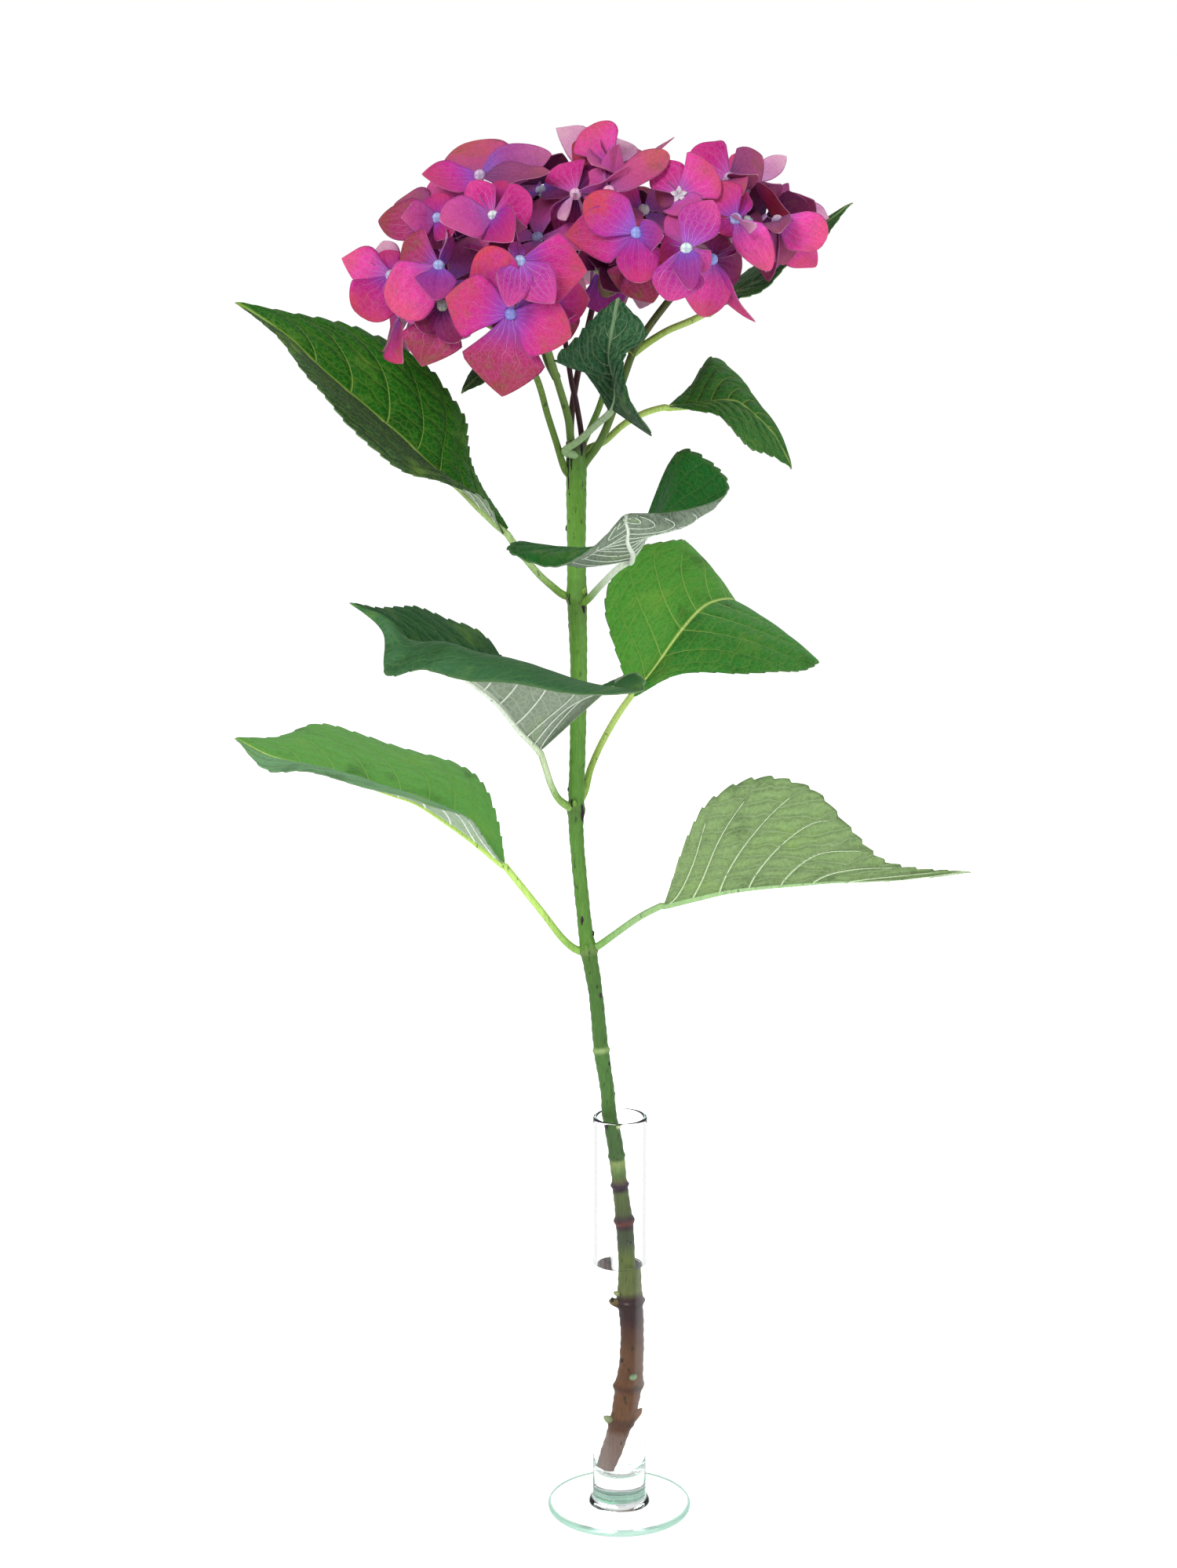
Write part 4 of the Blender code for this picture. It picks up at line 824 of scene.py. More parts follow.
def pore_tree():
    """Lenticels: small raised pores scattered over the rind."""
    tree, given = new_tree("stem_pores", Per_square_metre=4200.0, Pore_length=0.0013, Seed=SEED, Skin=None)
    spread = add(tree, "GeometryNodeDistributePointsOnFaces",
                 {"Mesh": given["Geometry"], "Density": given["Per_square_metre"], "Seed": given["Seed"]})
    size = add(tree, "FunctionNodeRandomValue", {"Seed": given["Seed"]})
    pore = add(tree, "GeometryNodeMeshIcoSphere", [given["Pore_length"], 1])
    know = follow(
        tree, {"size": size},
        ("share", "MULTIPLY_ADD", "size", 0.6, 0.4),
        ("narrow", "MULTIPLY", "share", 0.46),
        ("scale", "CombineXYZ", "narrow", "narrow", "share"),
    )
    placed = add(tree, "GeometryNodeInstanceOnPoints",
                 {"Points": spread.outputs["Points"], "Instance": pore, "Scale": know["scale"]})
    return close_tree(tree, placed, given["Skin"])


def leaf_tree():
    """Leaf relief: veins sunk in the skin, the skin quilted between them, toothed and waved edges."""
    tree, given = new_tree("leaf_relief", Quilting=0.7, Groove=0.45, Tooth_depth=1.6, Tooth_pitch=5.0,
                           Edge_wave=0.6, Wave_length=34.0, Phase=0.0, Skin=None)
    know = {mark: add(tree, READ, [mark], data_type=kind)
            for kind, marks in LEAF_MARKS for mark in marks.split()}
    know.update({label: given[label] for label in
                 ("Quilting", "Groove", "Tooth_depth", "Tooth_pitch", "Edge_wave", "Wave_length", "Phase")})
    follow(
        tree, know,
        ("edge", "ABSOLUTE", "across"),
        # One at a side vein and nothing midway between two.
        ("near", "FRACT", "lane"),
        ("near", "SUBTRACT", "near", 0.5),
        ("near", "ABSOLUTE", "near"),
        ("near", "MULTIPLY", "near", 2.0),
        ("bulge", "POWER", "near", 2.0),
        ("bulge", "SUBTRACT", 1.0, "bulge"),
        ("from_rib", "MULTIPLY", "edge", 6.0),
        ("from_rib", "MINIMUM", "from_rib", 1.0),
        ("to_edge", "POWER", "edge", 4.0),
        ("to_edge", "SUBTRACT", 1.0, "to_edge"),
        ("bulge", "MULTIPLY", "bulge", "from_rib"),
        ("bulge", "MULTIPLY", "bulge", "to_edge"),
        ("arch", "MULTIPLY", "out", math.pi),
        ("arch", "SINE", "arch"),
        ("bulge", "MULTIPLY", "bulge", "arch"),
        ("bulge", "MULTIPLY", "bulge", "Quilting"),
        ("dip", "MULTIPLY_ADD", "near", 8.0, -7.0),
        ("dip", "MAXIMUM", "dip", 0.0),
        ("dip", "MULTIPLY", "dip", "to_edge"),
        ("rib", "MULTIPLY", "edge", "span"),
        ("rib", "MULTIPLY_ADD", "rib", -0.6, 1.0),
        ("rib", "MAXIMUM", "rib", 0.0),
        ("dip", "MULTIPLY_ADD", "rib", 1.4, "dip"),
        ("dip", "MULTIPLY", "dip", "Groove"),
        ("run", "MULTIPLY", "out", "length"),
        ("turn", "DIVIDE", "run", "Wave_length"),
        ("turn", "MULTIPLY_ADD", "turn", 2 * math.pi, "Phase"),
        ("turn", "MULTIPLY_ADD", "across", 0.9, "turn"),
        ("wave", "SINE", "turn"),
        ("cube", "POWER", "edge", 3.0),
        ("wave", "MULTIPLY", "wave", "cube"),
        ("wave", "MULTIPLY", "wave", "arch"),
        ("lift", "MULTIPLY_ADD", "wave", "Edge_wave", "bulge"),
        ("lift", "SUBTRACT", "lift", "dip"),
        # Teeth point ahead: the edge runs out slowly and steps back at once.
        ("tooth", "DIVIDE", "run", "Tooth_pitch"),
        ("tooth", "FRACT", "tooth"),
        ("tooth", "SUBTRACT", 1.0, "tooth"),
        ("tooth", "POWER", "tooth", 1.4),
        ("rim", "POWER", "edge", 14.0),
        ("tooth", "MULTIPLY", "tooth", "rim"),
        ("room", "MULTIPLY", "arch", 3.0),
        ("room", "MINIMUM", "room", 1.0),
        ("tooth", "MULTIPLY", "tooth", "room"),
        ("tooth", "MULTIPLY", "tooth", "Tooth_depth"),
        ("above", "VectorMath SCALE", "over", "lift"),
        ("inside", "VectorMath SCALE", "inward", "tooth"),
        ("shift", "VectorMath ADD", "above", "inside"),
        ("shift", "VectorMath SCALE", "shift", MM),
    )
    moved = add(tree, "GeometryNodeSetPosition", {"Geometry": given["Geometry"], "Offset": know["shift"]})
    moved = add(tree, "GeometryNodeMergeByDistance", {"Geometry": moved, "Distance": 0.004 * MM})
    return close_tree(tree, moved, given["Skin"])


def new_skin(name):
    """An empty material and its tree."""
    skin = bpy.data.materials.new(name)
    skin.use_nodes = True
    skin.node_tree.nodes.clear()
    return skin, skin.node_tree


def thin_skin(tree, gloss, glow, share):
    """Ends a leaf or sepal's material: its surface, with a share of light let through."""
    through = add(tree, "ShaderNodeBsdfTranslucent", [glow])
    mixed = add(tree, "ShaderNodeMixShader", [share, gloss, through])
    add(tree, "ShaderNodeOutputMaterial", {"Surface": mixed})


def sepal_skin(name, paling, roughness, veining):
    """Hydrangea sepal: thin, velvety and matt, with fine pale veins that fan from the claw.

    The juice in its cells is blotched from violet through pink to coral, and goes olive where it ages.
    """
    skin, tree = new_skin(name)
    know = {mark: add(tree, READ_IN_SKIN, attribute_name=mark).outputs[output]
            for output, marks in (("Fac", "out across olive veining"), ("Vector", "flat root"),
                                  ("Color", "heart field tip"))
            for mark in marks.split()}
    know["parts"] = add(tree, "ShaderNodeSeparateXYZ", [know["flat"]])
    know["beside"], know["run"], know["half"] = know["parts"].outputs
    know["net"] = add(tree, "ShaderNodeTexVoronoi", {"Vector": know["flat"], "Scale": 0.45},
                      feature="DISTANCE_TO_EDGE")
    know.update(olive_brown=linear("#7a5f26"), vein_pink=linear("#f0b4d6"), edge_plum=linear("#8e2f70"),
                back_pink=linear("#e6b4cc"))
    follow(
        tree, know,
        ("spot", "VectorMath ADD", "flat", "root"),
        # Blotches of about 8 mm move the border between the field and the tip.
        ("blotch", "TexNoise", "spot", 0.13, 3.0, 0.6),
        ("tipward", "MULTIPLY_ADD", "blotch", 0.9, "out"),
        ("tipward", "MapRange SMOOTHSTEP", "tipward", 0.85, 1.45, 0.0, 1.0),
        ("body", "Mix RGBA", "tipward", "field", "tip"),
        ("heartward", "MapRange SMOOTHSTEP", "out", 0.05, 0.5, 1.0, 0.0),
        ("body", "Mix RGBA", "heartward", "body", "heart"),
        # Olive bruises of 3 to 5 mm on the outer half.
        ("bruise", "TexNoise", "spot", 0.24, 4.0, 0.65),
        ("bruise", "MapRange SMOOTHSTEP", "bruise", 0.5, 0.68, 0.0, 0.85),
        ("outer", "MapRange SMOOTHSTEP", "out", 0.3, 0.8, 0.0, 1.0),
        ("bruise", "MULTIPLY", "bruise", "outer"),
        ("bruise", "MULTIPLY", "bruise", "olive"),
        ("body", "Mix RGBA", "bruise", "body", "olive_brown"),
        # Cell grain of about 0.8 mm, coarser than the real 0.1 mm so that it shows.
        ("grain", "TexNoise", "spot", 1.3, 3.0, 0.7),
        ("grain", "MapRange", "grain", 0.3, 0.7, 0.84, 1.14),
        ("body", "VectorMath SCALE", "body", "grain"),
        # Main veins fan from the claw, a finer one between each two, and side veins leave them.
        ("sway", "TexNoise", "spot", 0.11, 2.0, 0.5),
        ("sway", "MULTIPLY_ADD", "sway", 0.5, -0.25),
        ("sway", "ADD", "across", "sway"),
        ("lane", "MULTIPLY", "sway", 3.0),
        ("lane", "PINGPONG", "lane", 0.5),
        ("lane", "MULTIPLY", "lane", "half"),
        ("main", "MapRange SMOOTHSTEP", "lane", 0.04, 0.4, 1.0, 0.0),
        ("lane", "MULTIPLY_ADD", "sway", 6.0, 0.5),
        ("lane", "PINGPONG", "lane", 0.5),
        ("lane", "MULTIPLY", "lane", "half"),
        ("fine", "MapRange SMOOTHSTEP", "lane", 0.02, 0.4, 1.0, 0.0),
        ("after", "MapRange SMOOTHSTEP", "out", 0.25, 0.5, 0.0, 0.6),
        ("fine", "MULTIPLY", "fine", "after"),
        ("slant", "ABSOLUTE", "beside"),
        ("slant", "MULTIPLY_ADD", "slant", -1.3, "run"),
        ("slant", "MULTIPLY_ADD", "slant", 0.3, 0.5),
        ("slant", "PINGPONG", "slant", 0.5),
        ("slant", "MapRange", "slant", 0.01, 0.07, 0.45, 0.0),
        ("slant", "MULTIPLY", "slant", "after"),
        ("net", "MapRange", "net", 0.0, 0.1, 0.5, 0.0),
        ("net", "MULTIPLY", "net", "after"),
        ("veins", "MAXIMUM", "main", "fine"),
        ("veins", "MAXIMUM", "veins", "net"),
        ("veins", "MAXIMUM", "veins", "slant"),
        ("fade", "MapRange", "out", 0.2, 0.9, 1.0, 0.3),
        ("veins", "MULTIPLY", "veins", "fade"),
        ("pale", "MULTIPLY", "veins", "veining"),
        ("pale", "MULTIPLY", "pale", veining),
        ("body", "Mix RGBA", "pale", "body", "vein_pink"),
        ("body", "Mix RGBA", paling, "body", "back_pink"),
        ("edge", "ABSOLUTE", "across"),
        ("edge", "MapRange", "edge", 0.93, 1.0, 0.0, 0.5),
        ("body", "Mix RGBA", "edge", "body", "edge_plum"),
        ("height", "MULTIPLY_ADD", "veins", -0.6, "grain"),
        # The sheet is a little crumpled, every 4 mm or so.
        ("ripple", "TexNoise", "spot", 0.24, 2.0, 0.5),
        ("height", "MULTIPLY_ADD", "ripple", 2.4, "height"),
    )
    bump = add(tree, "ShaderNodeBump", {"Strength": 0.7, "Distance": 0.35 * MM, "Height": know["height"]})
    gloss = add(tree, "ShaderNodeBsdfPrincipled",
                {"Base Color": know["body"], "Roughness": roughness, "IOR": 1.4, "Specular IOR Level": 0.22,
                 "Sheen Weight": 0.05, "Sheen Roughness": 0.4, "Normal": bump})
    thin_skin(tree, gloss, know["body"], 0.25)
    return skin


def leaf_skin(name, side, roughness, veining, hollow):
    """Hydrangea leaf: a leathery netted skin, satin above and matt and silvery beneath.

    Above, the veins are sunk and pale; beneath, the net stands out. Marks of that side give its green and
    its veins' colour; the left half's greyer green above on leaf_a and leaf_g is painted sheen. Along the
    veins and rungs the green is darkened, painted shade in the grooves.
    """
    skin, tree = new_skin(name)
    know = {mark: add(tree, READ_IN_SKIN, attribute_name=mark).outputs["Fac"]
            for mark in ("out", "across", "lane", "quilt")}
    know["flat"] = add(tree, READ_IN_SKIN, attribute_name="flat").outputs["Vector"]
    know["tone"] = add(tree, READ_IN_SKIN, attribute_name="skin_" + side).outputs["Color"]
    know["tone_vein"] = add(tree, READ_IN_SKIN, attribute_name="vein_" + side).outputs["Color"]
    know["parts"] = add(tree, "ShaderNodeSeparateXYZ", [know["flat"]])
    know["beside"], know["run"], know["pitch"] = know["parts"].outputs
    know.update(young=linear("#8fb84a"), shade=linear("#1c4014"), rim=linear("#6f8f5c"))
    know["mesh"] = add(tree, "ShaderNodeTexVoronoi", {"Vector": know["flat"], "Scale": 0.5},
                       feature="DISTANCE_TO_EDGE")
    follow(
        tree, know,
        # Side veins: the distance to the nearest in millimetres, thinner towards the edge.
        ("near", "PINGPONG", "lane", 0.5),
        ("near", "MULTIPLY", "near", "pitch"),
        ("edge", "ABSOLUTE", "across"),
        ("thin", "MapRange", "edge", 0.0, 1.0, 0.0, 0.22),
        ("drawn", "ADD", "near", "thin"),
        ("side", "MapRange SMOOTHSTEP", "drawn", 0.1, 0.38, 1.0, 0.0),
        ("off", "ABSOLUTE", "beside"),
        ("rib", "MapRange SMOOTHSTEP", "off", 0.5, 1.1, 1.0, 0.0),
        # Rungs cross from one side vein to the next every 5 mm, set off from lane to lane.
        ("bend", "TexNoise", "flat", 0.12, 2.0, 0.5),
        ("step", "FLOOR", "lane"),
        ("step", "MULTIPLY", "step", 0.37),
        ("rung", "MULTIPLY_ADD", "off", 0.2, "step"),
        ("rung", "MULTIPLY_ADD", "bend", 1.2, "rung"),
        ("rung", "ADD", "rung", 0.5),
        ("rung", "PINGPONG", "rung", 0.5),
        ("rung", "MULTIPLY", "rung", 5.0),
        ("rung_line", "MapRange SMOOTHSTEP", "rung", 0.05, 0.4, 0.3, 0.0),
        ("mesh", "MapRange", "mesh", 0.0, 0.12, 0.22, 0.0),
        ("veins", "MAXIMUM", "side", "rib"),
        ("pale", "MAXIMUM", "veins", "rung_line"),
        ("pale", "MAXIMUM", "pale", "mesh"),
        # The skin swells between the veins like a quilt.
        ("bound", "MINIMUM", "near", "rung"),
        ("bound", "MINIMUM", "bound", "off"),
        ("swell", "MapRange SMOOTHSTEP", "bound", 0.0, 1.9, 0.0, 1.0),
        # Painted shade: the green is darkened where the skin dips along the veins and rungs.
        ("fold", "SUBTRACT", 1.0, "swell"),
        ("fold", "MULTIPLY", "fold", "quilt"),
        ("fold", "MULTIPLY_ADD", "fold", -0.18, 1.0),
        ("patch", "TexNoise", "flat", 0.06, 3.0, 0.55),
        ("lighter", "MapRange SMOOTHSTEP", "patch", 0.55, 0.78, 0.0, 0.35),
        ("darker", "MapRange SMOOTHSTEP", "patch", 0.48, 0.28, 0.0, 0.45),
        ("body", "Mix RGBA", "lighter", "tone", "young"),
        ("body", "Mix RGBA", "darker", "body", "shade"),
        ("grain", "TexNoise", "flat", 1.0, 3.0, 0.65),
        ("grain", "MapRange", "grain", 0.3, 0.7, 0.9, 1.1),
        ("body", "VectorMath SCALE", "body", "grain"),
        ("body", "VectorMath SCALE", "body", "fold"),
        ("pale", "MULTIPLY", "pale", veining),
        ("body", "Mix RGBA", "pale", "body", "tone_vein"),
        ("edge", "MapRange", "edge", 0.965, 1.0, 0.0, 0.5),
        ("body", "Mix RGBA", "edge", "body", "rim"),
        ("height", "MULTIPLY", "swell", -hollow),
        ("height", "MULTIPLY_ADD", "veins", hollow * 0.4, "height"),
        ("height", "MULTIPLY_ADD", "mesh", hollow * 0.5, "height"),
        ("height", "MULTIPLY_ADD", "grain", 0.15, "height"),
        ("height", "MULTIPLY", "height", "quilt"),
        ("from_stem", "MapRange SMOOTHSTEP", "out", 0.05, 0.4, 0.05, 1.0),
        ("height", "MULTIPLY", "height", "from_stem"),
    )
    bump = add(tree, "ShaderNodeBump", {"Strength": 0.85, "Distance": 0.85 * MM, "Height": know["height"]})
    gloss = add(tree, "ShaderNodeBsdfPrincipled",
                {"Base Color": know["body"], "Roughness": roughness, "IOR": 1.45, "Specular IOR Level": 0.14,
                 "Sheen Weight": 0.03, "Sheen Roughness": 0.5, "Normal": bump})
    thin_skin(tree, gloss, know["body"], 0.25)
    return skin


def shoot_rind():
    """Green shoot: a smooth waxy rind, streaked along its length, browner and rougher where it is old."""
    skin, tree = new_skin("shoot_rind")
    know = {"tint": add(tree, READ_IN_SKIN, attribute_name="tint").outputs["Color"]}
    know["object"] = add(tree, "ShaderNodeTexCoord").outputs["Object"]
    know.update(dusk=linear("#26351c"))
    follow(
        tree, know,
        # Streaks 0.5 mm wide and ten times as long.
        ("grain", "VectorMath MULTIPLY", "object", (2000.0, 2000.0, 200.0)),
        ("streak", "TexNoise", "grain", 0.9, 4.0, 0.6),
        ("dim", "MapRange", "streak", 0.3, 0.7, 0.8, 1.18),
        ("body", "VectorMath SCALE", "tint", "dim"),
        # Dark flecks 1 mm wide and 2 to 4 mm long.
        ("stretched", "VectorMath MULTIPLY", "object", (1000.0, 1000.0, 330.0)),
        ("fleck", "TexNoise", "stretched", 0.75, 2.0, 0.5),
        ("fleck", "MapRange SMOOTHSTEP", "fleck", 0.64, 0.72, 0.0, 0.7),
        ("body", "Mix RGBA", "fleck", "body", "dusk"),
    )
    bump = add(tree, "ShaderNodeBump", {"Strength": 0.5, "Distance": 0.15 * MM, "Height": know["streak"]})
    gloss = add(tree, "ShaderNodeBsdfPrincipled",
                {"Base Color": know["body"], "Roughness": 0.42, "IOR": 1.45, "Normal": bump})
    add(tree, "ShaderNodeOutputMaterial", {"Surface": gloss})
    return skin


def pore_skin():
    """Lenticel: a corky pore, darker than the rind round it."""
    skin, tree = new_skin("pore_cork")
    know = {"object": add(tree, "ShaderNodeTexCoord").outputs["Object"],
            "dark": linear("#24161f"), "rust": linear("#46323a")}
    follow(
        tree, know,
        ("patch", "TexNoise", "object", 300.0, 2.0, 0.5),
        ("body", "Mix RGBA", "patch", "dark", "rust"),
    )
    gloss = add(tree, "ShaderNodeBsdfPrincipled", {"Base Color": know["body"], "Roughness": 0.8})
    add(tree, "ShaderNodeOutputMaterial", {"Surface": gloss})
    return skin


def bead_skin():
    """Closed bud in the floret's eye: smooth, waxy and full, with painted shade in its creases."""
    skin, tree = new_skin("bead_wax")
    know = {"dent": add(tree, READ_IN_SKIN, attribute_name="dent").outputs["Fac"],
            "tint": add(tree, READ_IN_SKIN, attribute_name="tint").outputs["Color"]}
    know["object"] = add(tree, "ShaderNodeTexCoord").outputs["Object"]
    # Colour of the painted shade in the creases.
    know.update(crease=linear("#6f6fa0"))
    follow(
        tree, know,
        ("mottle", "TexNoise", "object", 1100.0, 3.0, 0.6),
        ("dim", "MapRange", "mottle", 0.3, 0.7, 0.85, 1.12),
        ("body", "VectorMath SCALE", "tint", "dim"),
        # Painted shade: the creases darken towards a dim blue.
        ("deep", "MULTIPLY", "dent", 0.55),
        ("body", "Mix RGBA", "deep", "body", "crease"),
    )
    gloss = add(tree, "ShaderNodeBsdfPrincipled",
                {"Base Color": know["body"], "Roughness": 0.4, "Subsurface Weight": 0.25,
                 "Subsurface Scale": 0.6 * MM})
    add(tree, "ShaderNodeOutputMaterial", {"Surface": gloss})
    return skin


def clear_glass():
    """Soda-lime glass, drawn and fire-polished: clear through a wall, green where light runs far in it."""
    skin, tree = new_skin("clear_glass")
    gloss = add(tree, "ShaderNodeBsdfPrincipled",
                {"Base Color": linear("#ffffff"), "Roughness": 0.0, "IOR": 1.5, "Transmission Weight": 1.0})
    tinge = add(tree, "ShaderNodeVolumeAbsorption", {"Color": (0.35, 0.8, 0.62, 1.0), "Density": 2.5})
    add(tree, "ShaderNodeOutputMaterial", {"Surface": gloss, "Volume": tinge})
    return skin


def painted_edge_glow():
    """The foot's ground edge: painted light, green and a little milky, for the light that gathers in the
    glass behind it.
    """
    skin, tree = new_skin("glass_edge_glow")
    gloss = add(tree, "ShaderNodeBsdfPrincipled",
                {"Base Color": linear("#bfe8d6"), "Roughness": 0.15, "IOR": 1.5, "Transmission Weight": 0.45})
    add(tree, "ShaderNodeOutputMaterial", {"Surface": gloss})
    return skin


def still_water():
    """Water a few days old: clear, with a touch of green."""
    skin, tree = new_skin("still_water")
    gloss = add(tree, "ShaderNodeBsdfPrincipled",
                {"Base Color": linear("#fbfefc"), "Roughness": 0.0, "IOR": 1.333, "Transmission Weight": 1.0})
    add(tree, "ShaderNodeOutputMaterial", {"Surface": gloss})
    return skin


def turned(profile, sides):
    """A closed turned solid from (radius, height) points that start and end on the axis."""
    points = [(0, 0, profile[0][1])]
    for radius, height in profile[1:-1]:
        turns = [2 * math.pi * k / sides for k in range(sides)]
        points += [(radius * math.cos(turn), radius * math.sin(turn), height) for turn in turns]
    points.append((0, 0, profile[-1][1]))
    faces = []
    rings = len(profile) - 2
    for k in range(sides):
        n = (k + 1) % sides
        faces.append((0, 1 + n, 1 + k))
        for i in range(rings - 1):
            low, high = 1 + i * sides, 1 + (i + 1) * sides
            faces.append((low + k, low + n, high + n, high + k))
        top = 1 + (rings - 1) * sides
        faces.append((top + k, top + n, len(points) - 1))
    return points, faces


def bent(start, corner, end, steps=6):
    """Points round a rounded corner, from start to end."""
    return [tuple((1 - t) ** 2 * a + 2 * t * (1 - t) * b + t * t * c for a, b, c in zip(start, corner, end))
            for t in (k / steps for k in range(steps + 1))]


def make_turned(name, profile, skin):
    """A turned piece in its material."""
    points, faces = turned(profile, GLASS_SIDES)
    piece = new_piece(name, points, faces=faces)
    piece.data.materials.append(skin)
    piece.data.shade_smooth()
    piece.data.set_sharp_from_angle(angle=math.radians(40))
    return piece


def make_vase():
    """The tube with its thick bottom on the round foot, all its edges fire-polished round."""
    tube, bore, foot, thick = TUBE_RADIUS, BORE_RADIUS, FOOT_RADIUS, FOOT_THICKNESS
    top, low = RIM_HEIGHT, BORE_BOTTOM
    profile = [(0, 0), (foot - 4, 0)]
    profile += bent((foot - 1.3, 0), (foot, 0), (foot, 1.3))
    profile += bent((foot, 1.4), (foot, thick), (foot - 1.5, thick))
    profile += [(foot - 4, thick + 0.15), (tube + 9, thick + 0.5)]
    profile += bent((tube + 3.4, thick + 0.6), (tube + 0.2, thick + 0.7), (tube, thick + FOOT_RISE - 0.4), 12)
    profile += [(tube, low), (tube, 40), (tube, 95), (tube, top - 3)]
    profile += bent((tube, top - 0.75), (tube, top), (tube - 0.75, top))
    profile += bent((bore + 0.75, top), (bore, top), (bore, top - 0.75))[1:]
    profile += [(bore, top - 3), (bore, 95), (bore, 40)]
    profile += bent((bore, low + 4), (bore, low), (bore - 3.5, low), 10)
    profile += [(2, low), (0, low)]
    vase = make_turned("vase_glass", profile, clear_glass())
    vase.data.materials.append(painted_edge_glow())
    # Faces at the foot's ground edge take the painted green glow.
    for face in vase.data.polygons:
        if math.hypot(face.center.x, face.center.y) > (foot - GROUND_EDGE) * MM:
            face.material_index = 1
    return vase


def make_water():
    """The water fills the bore, and climbs a little where it meets the glass."""
    low, top, wall = BORE_BOTTOM - INTO_GLASS, WATER_TOP, BORE_RADIUS + INTO_GLASS
    profile = [(0, low), (2, low)]
    profile += bent((wall - 3.5, low), (wall, low), (wall, low + 4), 10)
    profile += [(wall, 40), (wall, 80), (wall, top - 1), (wall, top - 0.1), (wall, top + 0.3)]
    profile += bent((wall - 0.02, top + 0.3), (wall - 0.2, top), (wall - 1.0, top), 5)
    profile += [(4, top), (0, top)]
    return make_turned("water_column", profile, still_water())


def tints_between(table, level):
    """The colour at a height, between the rows of a table."""
    levels = [row[0] for row in table]
    channels = zip(*[linear(row[1]) for row in table])
    return [float(np.interp(level, levels, channel)) for channel in channels]


def line_piece(name, lines):
    """One object from lines of (point, radius in millimetres, linear colour)."""
    points, edges, thick, tint = [], [], [], []
    for line in lines:
        edges += [(len(points) + k, len(points) + k + 1) for k in range(len(line) - 1)]
        points += [spot[0] for spot in line]
        thick += [spot[1] * MM for spot in line]
        tint += [spot[2] for spot in line]
    return new_piece(name, points, edges=edges, thick=thick, tint=tint)


def smooth_line(points, radii, colours, count):
    """A line of that many spots on a smooth curve, with radii and hex colours spread along it."""
    shares = [k / (count - 1) for k in range(count)]
    sized = [float(np.interp(t, np.linspace(0, 1, len(radii)), radii)) for t in shares]
    painted = [tints_between([(i / (len(colours) - 1), c) for i, c in enumerate(colours)], t) for t in shares]
    return [(along_curve(points, t), radius, tint) for t, radius, tint in zip(shares, sized, painted)]


def make_stem(tubes, rind):
    """The shoot with its rings, and the stubs and buds on it."""
    heights = [p[2] for p, _ in STEM_LINE]
    centres = [p for p, _ in STEM_LINE]
    line = []
    for level in np.arange(heights[0], heights[-1] + 0.01, STEM_STEP):
        i = min(max(k for k in range(len(heights)) if heights[k] <= level), len(heights) - 2)
        share = (level - heights[i]) / (heights[i + 1] - heights[i])
        centre = along_curve(centres, (i + share) / (len(heights) - 1))
        radius = float(np.interp(level, heights, [r for _, r in STEM_LINE]))
        for ring, height, length in STEM_RINGS:
            radius += height * math.exp(-((level - ring) / (0.42 * length)) ** 2)
        radius += sum(high * math.sin(level * pace) for high, pace in RIND_WAVES)
        line.append((centre, radius, tints_between(STEM_COLOURS, level)))
    line.append((line[-1][0] + Vector((0, 0, 0.6)), 0.4 * line[-1][1], line[-1][2]))
    lines = [line]
    for foot, tip, thick, near, far in STEM_STUBS:
        foot, tip = Vector(foot), Vector(tip)
        points = (foot, foot.lerp(tip, 0.4), foot.lerp(tip, 0.8), tip)
        radii = (thick, thick, thick * 0.8, thick * 0.25)
        lines.append(smooth_line(points, radii, (near, near, far, far), 9))
    # Dark streaks on the rind; the one just under the fork is painted shadow.
    for start, end, width in STEM_STREAKS_AND_SHADOW:
        points = (start, Vector(start).lerp(Vector(end), 0.5), end)
        radii = (width * 0.3, width, width * 0.3)
        lines.append(smooth_line(points, radii, STREAK_AND_SHADOW_COLOURS, 9))
    return grow(line_piece("stem_shoot", lines), tubes, Sides=STEM_SIDES, Rind=rind)


def make_pores(stem, cork):
    """Lenticels on a copy of the stem's rind."""
    piece = bpy.data.objects.new("stem_pores", stem.data.copy())
    bpy.context.scene.collection.objects.link(piece)
    return grow(piece, pore_tree(), Skin=cork)


class Blade:
    """A leaf's surface: where a point lies, out along it from 0 to 1 and across it from -1 to 1."""

    def __init__(self, leaf):
        tip = Vector(leaf["blade"][-1][0])
        self.rows = [tuple(Vector(p) for p in row) for row in leaf["blade"][:-1]] + [(tip, tip, tip)]
        self.puff = leaf["puff"]
        self.veins = leaf.get("side_veins", SIDE_VEINS)
        mids = [row[0] for row in self.rows]
        self.length = sum((b - a).length for a, b in zip(mids, mids[1:]))

    def row(self, t):
        """Midrib, margins and the way up at that distance out."""
        mid, left, right = (along_curve([row[k] for row in self.rows], t) for k in range(3))
        near = min(t, 0.985)
        mids = [row[0] for row in self.rows]
        ahead = (along_curve(mids, near + 0.01) - along_curve(mids, near - 0.01)).normalized()
        one, other = (along_curve([row[k] for row in self.rows], near) for k in (1, 2))
        wide = other - one
        return mid, left, right, wide.cross(ahead).normalized()

    def spot(self, row, t, s):
        """The point across a row."""
        mid, left, right, over = row
        margin, puff = (left, self.puff[0]) if s < 0 else (right, self.puff[1])
        share = abs(s)
        lift = puff * math.sin(math.pi * t) * 4 * share * (1 - share)
        return mid.lerp(margin, share) + over * lift

    def lane(self, t, s):
        """Counts the side veins: a whole number lies on one."""
        return self.veins * (t - VEIN_SWING * abs(s) ** 1.3)


